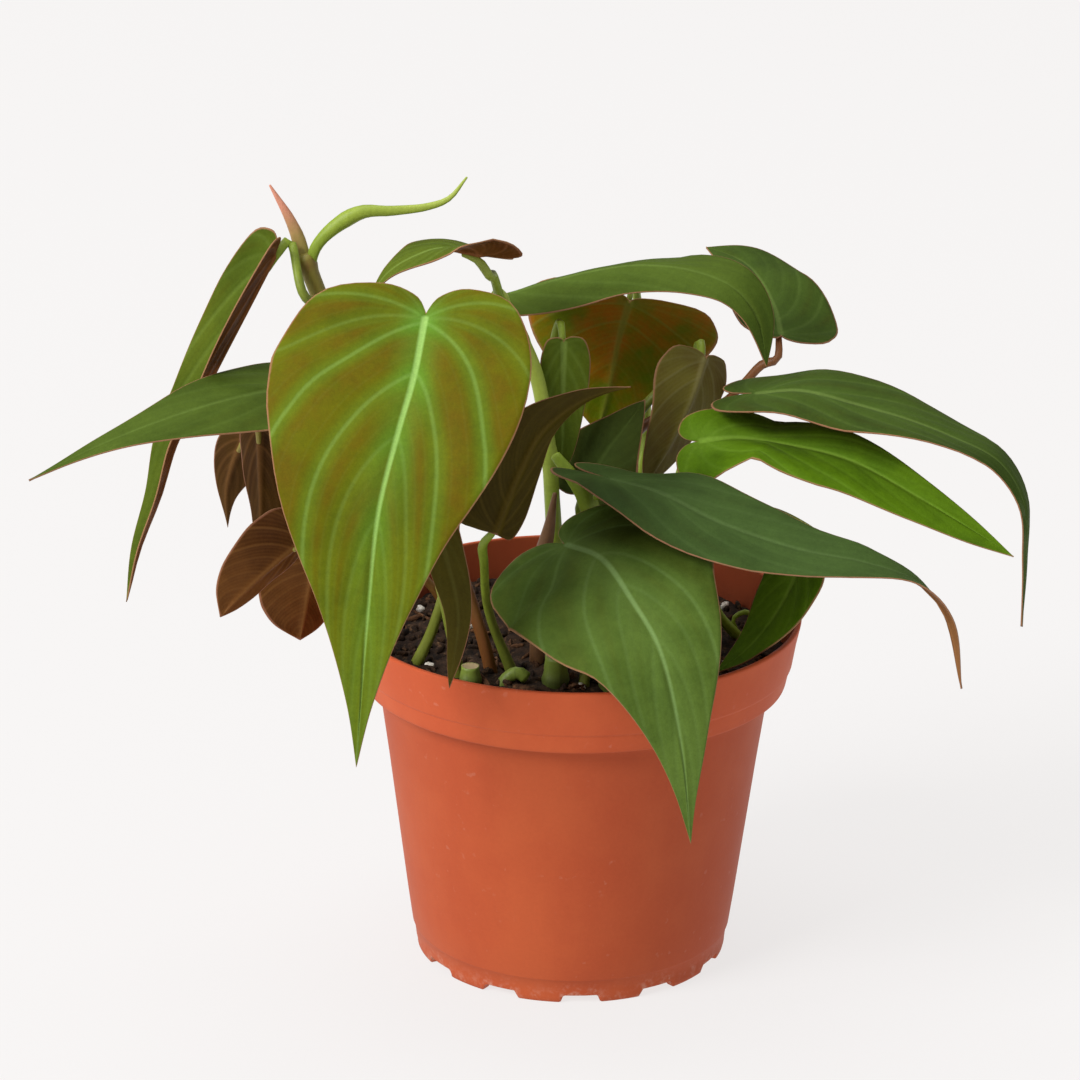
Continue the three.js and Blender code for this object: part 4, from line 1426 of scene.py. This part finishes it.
LEAVES = (
    Leaf(
        "front_heart",
        rib=(
            (-34, -44, 170), (-36, -56, 160), (-39, -63, 150), (-43, -70, 134), (-45, -73, 114),
            (-48, -74, 75),
        ),
        face=((-0.1, -1, 0.7), (-0.15, -1, 0.25), (-0.15, -1, 0.1)),
        wide=(32, 26), fold=(6, 12), curl=(-12, -14), lobe=0.075, wave=0.5, finish=OLIVE, quilt=0.45,
        petiole=((-38, -12, 74), (-33, -13, 86), (-28, -20, 112), (-30, -30, 142)),
    ),
    Leaf(
        "rim_heart",
        rib=(
            (-2, -26, 111), (6, -38, 112), (13, -52, 107), (19, -60, 99), (24, -65, 80), (27, -66, 54),
        ),
        face=((-0.2, -0.6, 1), (-0.1, -0.85, 0.6), (0, -1, 0.15)),
        wide=(27, 24), fold=(4, 0), curl=(-12, -20), lobe=0.1, wave=0.6, finish=MEADOW, quilt=0.45,
        petiole=((2, -28, 74), (3, -26, 86), (0, -20, 98)),
    ),
    Leaf(
        "right_low",
        rib=(
            (8, -20, 125), (19, -29, 125), (33, -38, 121), (51, -44, 117), (65, -46, 115),
            (77, -47, 111), (84, -48, 103), (88, -49, 86),
        ),
        face=(
            (0, 0.1, 1), (0, -0.35, 1), (0.1, -0.6, 1), (0.1, -0.4, 1), (0.6, 0.3, 0.8),
            (0.9, 0.7, 0.2),
        ),
        wide=(14, 12), fold=(8, 4), curl=(-10, -10), lobe=0.13, wave=0.6, full=0.1, finish=SLATE,
        petiole=((14, -1, 74), (14, -1, 98), (10.6, -8.4, 116.5)),
    ),
    Leaf(
        "right_bright",
        rib=(
            (29, -5, 129.7), (37, -6.5, 131), (49, -9.5, 130.5), (63, -14, 128.5), (79, -19, 121.3),
            (101, -24, 109),
        ),
        face=(
            (-0.2, -0.7, 0.8), (0, -0.1, 1), (0, -0.55, 1), (0.1, -0.8, 1), (0.2, -0.9, 0.8),
            (0.2, -1, 0.7),
        ),
        wide=(16, 10), fold=(14, 6), curl=(-4, -10), lobe=0.07, wave=0.5, full=0.35, finish=BRIGHT,
        stalk=LIME_STALK,
        petiole=((42, 6, 74), (34, 1, 85), (31, -1, 96), (27.5, -3, 108), (24, -4, 119)),
    ),
    Leaf(
        "right_top",
        rib=(
            (42, 0, 140), (52, -4, 142), (65, -8, 140), (76, -12, 138), (86, -15, 135), (97, -18, 130),
            (103, -20, 121), (104, -21, 107), (104, -22, 91),
        ),
        face=((0, -0.3, 1), (0, -0.3, 1), (0.2, -0.3, 1), (1, -0.4, 0.4), (1, -0.5, 0.2)),
        wide=(13, 14), fold=((4, 6, 12, 4, 0), -6), curl=(4, -8), lobe=0.1, wave=1, full=0.1,
        finish=FOREST,
        stalk=LEFT_STALK,
        petiole=((34.5, 8.5, 126), (40, 10.5, 131)),
    ),
    Leaf(
        "top_round",
        rib=((48, 22, 148), (47, 32, 151), (44, 42, 155), (40, 52, 157), (31, 62, 158)),
        face=((0.3, -0.8, 0.8), (0.2, -0.5, 1)),
        wide=(15, 12), fold=(6, 10), lobe=0.07, full=0.5, finish=FOREST,
        stalk=RED_STALK,
        petiole=((11, 19, 121), (20, 27, 125.5), (34, 24, 129.5), (39.3, 21, 135.5), (44, 20, 141)),
    ),
    Leaf(
        "top_long",
        rib=(
            (-16, 20, 158), (-5, 18, 162), (5, 16, 165), (14, 13, 167), (26, 9, 167), (36, 5, 164),
            (41, 3, 158), (44, 1, 146),
        ),
        face=((0, -0.4, 1), (0, -0.5, 1), (0, -0.6, 1), (0.3, -0.7, 0.8), (0.9, -0.7, 0.4)),
        wide=(11, 15), fold=(0, (-40, -40, -32, 0, 30)), curl=(-6, -6), lobe=0.05, full=0.5,
        finish=FERN, stalk=LIME_STALK,
        petiole=((-14, 2, 154), (-17, 10, 153)),
    ),
    Leaf(
        "top_under",
        rib=((12, 33, 152), (10, 34, 144), (8, 36, 132), (5, 39, 117)),
        face=((0.1, 0.8, 0.5), (0.1, 1, 0.3)),
        wide=(24, 24), fold=(4, 4), curl=(10, 10), lobe=0.06, wave=0.6, full=0.4, joint=1,
        finish=BACKLIT,
        stalk=LIME_STALK,
        petiole=((5, 21, 92), (12, 34, 98), (17, 47, 116), (15, 46, 140)),
    ),
    Leaf(
        "top_centre",
        rib=((-23, -12, 176), (-31, -14, 178), (-37, -17, 177), (-43, -20, 174), (-48, -22, 168)),
        face=((-0.1, -0.05, 1), (-0.6, -0.4, 0.8)),
        wide=(13, 10), fold=(-4, (45, 10, -6, -8)), curl=(-8, -4), lobe=0.3, wave=0.5, finish=MOSS,
        stalk=LIME_STALK,
        petiole=((-18, 1, 160), (-19, -4, 166), (-20, -7, 170)),
    ),
    Leaf(
        "left_folded",
        rib=(
            (-70, -13, 175), (-75, -13, 165), (-82, -12, 151), (-87, -12, 141), (-93, -12, 130),
            (-97, -13, 117), (-102, -15, 104), (-105, -17, 92),
        ),
        face=((-0.35, -1, 0.3), (-0.35, -1, 0.1)),
        wide=(9, 6), fold=(6, 84), curl=(-6, 20), lobe=0.06, full=0.3, finish=MOSS,
        petiole=((-58, -10, 161), (-63, -15, 167)),
    ),
    Leaf(
        "left_long",
        rib=(
            (-58, -11, 143), (-68, -18, 145), (-79, -26, 145), (-92, -34, 143), (-107, -39, 138),
            (-123, -44, 131),
        ),
        face=((0, -0.25, 1), (-0.1, -0.3, 1)),
        wide=(13, 17), fold=(6, 2), curl=(-10, -14), lobe=0.06, wave=0.5, finish=FERN,
        petiole=((-51, -12, 149), (-54, -9, 145)),
    ),
    Leaf(
        "left_curl",
        rib=((-80, 22, 120), (-83, 24, 113), (-85, 26, 105), (-85, 28, 95)),
        face=((0.3, 1, 0.5), (0.1, 1, 0.2)),
        # its finish is the bronze leaf painted darker for the shade it hangs in
        wide=(8, 6), fold=(8, 8), curl=(14, 14), wave=0.3, finish=BRONZE_PAINTED_SHADE, stalk=LEFT_STALK,
        petiole=((-42, -14, 134), (-54, 8, 132), (-68, 17, 128)),
    ),
    Leaf(
        "left_back_hang",
        rib=((-75, 6, 128), (-75, 6, 117), (-75, 6, 107), (-76, 6, 97)),
        face=((0.3, 1, 0.3), (0.4, 1, 0.2)),
        # its finish is the bronze leaf painted darker for the shade it hangs in
        wide=(9, 6), fold=(8, 8), curl=(14, 14), full=0.4, finish=BRONZE_PAINTED_SHADE, stalk=LEFT_STALK,
        petiole=((-38, -15, 126), (-50, -6, 128), (-64, 0, 131)),
    ),
    Leaf(
        "left_blunt",
        rib=((-64, -8, 105), (-70, -12, 101), (-76, -15, 96), (-83, -18, 89)),
        face=((-0.1, 1, 0.5), (-0.2, 1, 0.3)),
        wide=(5, 12), curl=(14, 14), lobe=0.1, full=0.8, finish=BRONZE, stalk=LEFT_STALK,
        petiole=((-28, -16, 104), (-46, -8, 111)),
    ),
    Leaf(
        "left_lowest",
        rib=((-62, 6, 95), (-64, 6, 87), (-65, 5, 81), (-66, 4, 75)),
        face=((-0.4, 1, 0.6), (-0.5, 1, 0.3)),
        wide=(10, 13), fold=(8, 8), curl=(14, 14), lobe=0.1, wave=0.5, full=1,
        finish=BRONZE, stalk=LEFT_STALK,
        petiole=((-28, 6, 74), (-34, 6, 88), (-48, 4, 99)),
    ),
    Leaf(
        "centre_dark",
        rib=(
            (-18, -40, 119), (-13, -37, 132), (-8, -34, 141), (0, -31, 147), (6, -29, 149),
            (12, -28, 150),
        ),
        face=((-0.2, 1, 0.2), (-0.2, 1, 0.2)),
        wide=(13, 6), curl=(10, 10), lobe=0.02, joint=1, finish=UMBER,
        petiole=((-14, -16, 74), (-20, -20, 92), (-21, -30, 108)),
    ),
    Leaf(
        "centre_tip",
        rib=((-33, -48, 129), (-29, -51, 117), (-26, -54, 104), (-28, -56, 87)),
        face=((-0.3, -1, 0.3), (-0.3, -1, 0.1)),
        wide=(5, 5), fold=(10, 10), curl=(-10, -10), lobe=0.02, wave=0.3, full=0.5, finish=EMBER,
        petiole=((-26, -22, 74), (-30, -32, 98), (-34, -39, 120)),
    ),
    Leaf(
        "centre_deep",
        rib=((2, 0, 116), (6, 5, 122), (11, 9, 128), (16, 13, 134)),
        face=((-0.3, -1, 0.5), (-0.3, -1, 0.5)),
        wide=(11, 11), lobe=0.12, full=0.3, finish=DUSK,
        petiole=((5, 21, 92), (4, 10, 102)),
    ),
    Leaf(
        "centre_grey",
        rib=((30, 20, 142), (27, 17, 133), (22, 13, 123), (16, 10, 113)),
        face=((-0.2, 1, 0.6), (-0.2, 1, 0.6)),
        wide=(9, 11), curl=(10, 10), lobe=0.05, full=0.6, joint=1, finish=ASH,
        petiole=((12.5, 18.2, 126.5), (19, 19, 134), (28, 25, 142)),
    ),
    Leaf(
        "centre_green",
        rib=((-3.5, 5, 150), (-3.5, 5, 141), (-3.5, 4, 133), (-3.5, 2, 125), (-4, 1, 118)),
        face=((0.2, -1, 0.3), (0.2, -1, 0.3)),
        wide=(5.6, 6.4), fold=(8, 8), lobe=0.05, wave=0.3, full=0.6, finish=MOSS,
        petiole=((6, 21, 102), (-1, 16, 126), (-6, 13, 142)),
    ),
    Leaf(
        "rim_right",
        rib=((53, -14, 105), (50, -16, 97), (45, -19, 89), (39, -22, 83), (33, -25, 79.5)),
        face=((-0.5, -0.4, 0.8), (-0.5, -0.4, 0.8)),
        wide=(10, 10), curl=(-6, -6), wave=0.3, full=0.4, finish=BRIGHT,
        stalk=LIME_STALK,
        petiole=((26, -1.5, 102), (32, 4, 105), (40, 3, 110), (49, -5, 111.5)),
    ),
)

STALKS = (
    Stalk(
        "left_vine", "vine_left",
        points=(
            (-19, -17, 74), (-22, -17, 86), (-31, -16, 112), (-44, -14, 138), (-57, -10, 159),
            (-63, -8, 173),
        ),
        radii=(1.5, 1.5, 1.8, 1.9, 2), finish=LEFT_STALK, knots=(0.3, 0.5, 0.62, 0.76, 0.88, 0.99),
    ),
    Stalk(
        "centre_vine", "vine_centre",
        points=(
            (-3, -8, 74), (-5, -5, 104), (-7, -1, 128), (-10, 2, 144), (-15, 2, 155), (-19, 1, 163),
        ),
        radii=(2.2, 1.8, 1.6), finish=LIME_STALK, knots=(0.55, 0.87, 0.98),
    ),
    Stalk(
        "right_vine", "vine_right",
        points=((24, -4, 74), (25, -4, 90), (27, 1, 112), (32, 6, 125), (37, 9, 129)),
        radii=(1.9, 1.8, 1.5), finish=RED_STALK, knots=(0.42, 0.66, 0.9),
    ),
    Stalk(
        "back_vine", "vine_back",
        points=((4, 20, 74), (5, 21, 95), (8, 20, 114), (13, 18, 128)),
        radii=(1.9, 1.5), finish=RED_STALK, knots=(0.35, 0.55, 0.75, 0.97),
    ),
    Stalk(
        "growing_tip_sheath", "tip_sheath",
        points=((-63, -7, 171), (-64.5, -6, 177), (-67, -6, 183), (-71, -6, 190)),
        radii=(1.9, 1.6, 1, 0.25), finish=PINK_SHEATH, flat=0.7,
    ),
    Stalk(
        "rolled_new_leaf", "rolled_leaf",
        points=(
            (-62, -8, 171), (-60.5, -8, 176), (-56, -8, 181), (-50, -8, 184.5), (-43, -8, 185),
            (-35, -8, 186), (-30, -8, 188), (-26, -8, 193),
        ),
        radii=(1.2, 1.4, 1.9, 1.3, 1, 0.7, 0.25), finish=LIME_STALK, flat=0.8,
    ),
    Stalk(
        "heart_sheath_skin", "heart_sheath",
        points=((-5, -9, 127), (-1, -10, 122), (2, -9, 117), (4, -8, 110), (3, -6, 100), (2, -3, 74)),
        radii=(1.2, 2.4, 2.2, 1.8, 1.6), finish=LIME_STALK,
    ),
    Stalk(
        "brown_sheath_skin", "brown_sheath",
        points=((-5, -13, 119), (-6, -12, 112), (-8, -11, 100), (-9, -10, 74)),
        radii=(0.5, 2, 2, 1.6), finish=TAN_SHEATH,
    ),
    Stalk(
        "curled_shoot", "ring_shoot",
        points=(
            (44, 11, 73), (44.6, 9, 77), (44, 8, 80.5), (41, 8, 82.4), (38, 8, 80.4), (38.8, 8, 78.2),
        ),
        radii=(0.7, 0.7, 0.5), finish=GREEN_STALK,
    ),
    Stalk(
        "left_stub", "stub_left", points=((-24, -29, 73), (-24, -29, 82)),
        radii=(2.3, 2.1), finish=STUB, knots=(0.62,), cut_top=True,
    ),
    Stalk(
        "curled_stub", "stub_curled",
        points=((-17, -28, 73), (-16, -28, 78), (-13, -28, 80), (-11, -28, 78.6)),
        radii=(1.6, 1.5), finish=STUB, cut_top=True,
    ),
    Stalk(
        "middle_stub", "stub_middle", points=((-4.6, -28, 73), (-4, -28.4, 84.6)),
        radii=(3, 2.6), finish=STUB, knots=(0.5,), cut_top=True,
    ),
    Stalk(
        "right_stub", "stub_right", points=((8.6, -29, 73), (8, -28.6, 82.6)),
        radii=(2.4, 2.2), finish=STUB, knots=(0.6,), cut_top=True,
    ),
    Stalk(
        "back_stub", "stub_behind", points=((-3.6, -21, 73), (-3.4, -21, 92)),
        radii=(2.2, 2), finish=STUB, knots=(0.45, 0.8), cut_top=True,
    ),
)


# ---------------------------------------------------------------- studio


@dataclass(frozen=True)
class Lamp:
    """One soft box: where it hangs, where it points, its width and its power."""

    name: str
    place: Point
    aim: Point
    width: float
    power: float

    def build(self) -> None:
        """Adds the lamp."""
        light = bpy.data.lights.new(self.name, "AREA")
        light.shape, light.size, light.energy = "SQUARE", self.width, self.power
        holder = bpy.data.objects.new(self.name, light)
        holder.location = self.place
        holder.rotation_euler = (Vector(self.aim) - Vector(self.place)).to_track_quat("-Z", "Y").to_euler()
        bpy.context.scene.collection.objects.link(holder)


@dataclass(frozen=True)
class Studio:
    """A pale floor, soft light and the camera."""

    floor_half: float = 9.0
    floor_tone: str = "#6a6969"
    floor_glow_tone: str = "#fffdfc"
    floor_glow: float = 0.755
    sky: float = 0.42
    sky_tone: Colour = (1.0, 0.99, 0.985, 1.0)
    eye: Point = (0.00066, -0.9049, 0.4256)
    pitch: float = 19.63
    yaw: float = -0.579
    roll: float = 0.637
    lens: float = 135.21
    sensor: float = 36.0
    sight: Pair = (0.05, 60.0)
    lamps: Sequence[Lamp] = (
        Lamp("key_softbox", (-3.75, -2.85, 3.4), (0.0, 0.0, 0.1), 2.6, 320.0),
        Lamp("top_softbox", (-0.6, 0.9, 5.1), (0.0, 0.0, 0.1), 3.6, 105.0),
    )

    def build(self) -> None:
        """Adds the floor, the lamps, the sky and the camera."""
        self._floor()
        for lamp in self.lamps:
            lamp.build()
        self._sky()
        self._camera()

    def _floor(self) -> None:
        """Adds the plain pale floor."""
        half = self.floor_half / METRES
        draft = Draft()
        corners = [[(x, y, 0) for y in (-half, half)] for x in (-half, half)]
        draft.grid(np.array(corners), (), True)
        shade = Shade("pale_floor")
        mottle = shade.grain(3.0, 2.0, 0.5)
        tone = shade.tint(linear(self.floor_tone), mottle * 0.01 + 0.99)
        paper = shade.finish(
            Base_Color=tone,
            Roughness=0.9,
            Specular_IOR_Level=0.0,
            Emission_Color=linear(self.floor_glow_tone),
            Emission_Strength=self.floor_glow,
        )
        draft.make("studio_floor", [paper])

    def _sky(self) -> None:
        """Sets the even light from all round."""
        world = bpy.data.worlds.new("studio_sky")
        bpy.context.scene.world = world
        world.use_nodes = True
        back = world.node_tree.nodes["Background"]
        back.inputs["Color"].default_value = self.sky_tone
        back.inputs["Strength"].default_value = self.sky

    def _camera(self) -> None:
        """Adds the camera and sets how its picture is toned."""
        pitch, yaw, roll = (math.radians(a) for a in (self.pitch, self.yaw, self.roll))
        ahead = Vector((math.sin(yaw) * math.cos(pitch), math.cos(yaw) * math.cos(pitch), -math.sin(pitch)))
        level = Vector((math.cos(yaw), -math.sin(yaw), 0))
        above = level.cross(ahead)
        right = level * math.cos(roll) + above * math.sin(roll)
        up = above * math.cos(roll) - level * math.sin(roll)
        lens = bpy.data.cameras.new("studio_camera")
        lens.lens, lens.sensor_width = self.lens, self.sensor
        lens.clip_start, lens.clip_end = self.sight
        holder = bpy.data.objects.new("studio_camera", lens)
        turned = Matrix((right, up, -ahead)).transposed().to_4x4()
        holder.matrix_world = Matrix.Translation(Vector(self.eye)) @ turned
        scene = bpy.context.scene
        scene.collection.objects.link(holder)
        scene.camera = holder
        scene.view_settings.view_transform = "Standard"
        scene.view_settings.look = "None"


def main() -> None:
    """Builds the pot, the soil, the stalks and the leaves, then the studio round them."""
    logging.basicConfig(level=logging.INFO, format="%(name)s %(message)s")
    Studio().build()
    Pot().build()
    Soil().build()
    for stalk in STALKS:
        stalk.build()
    for leaf in LEAVES:
        leaf.build()


if __name__ == "__main__":
    main()
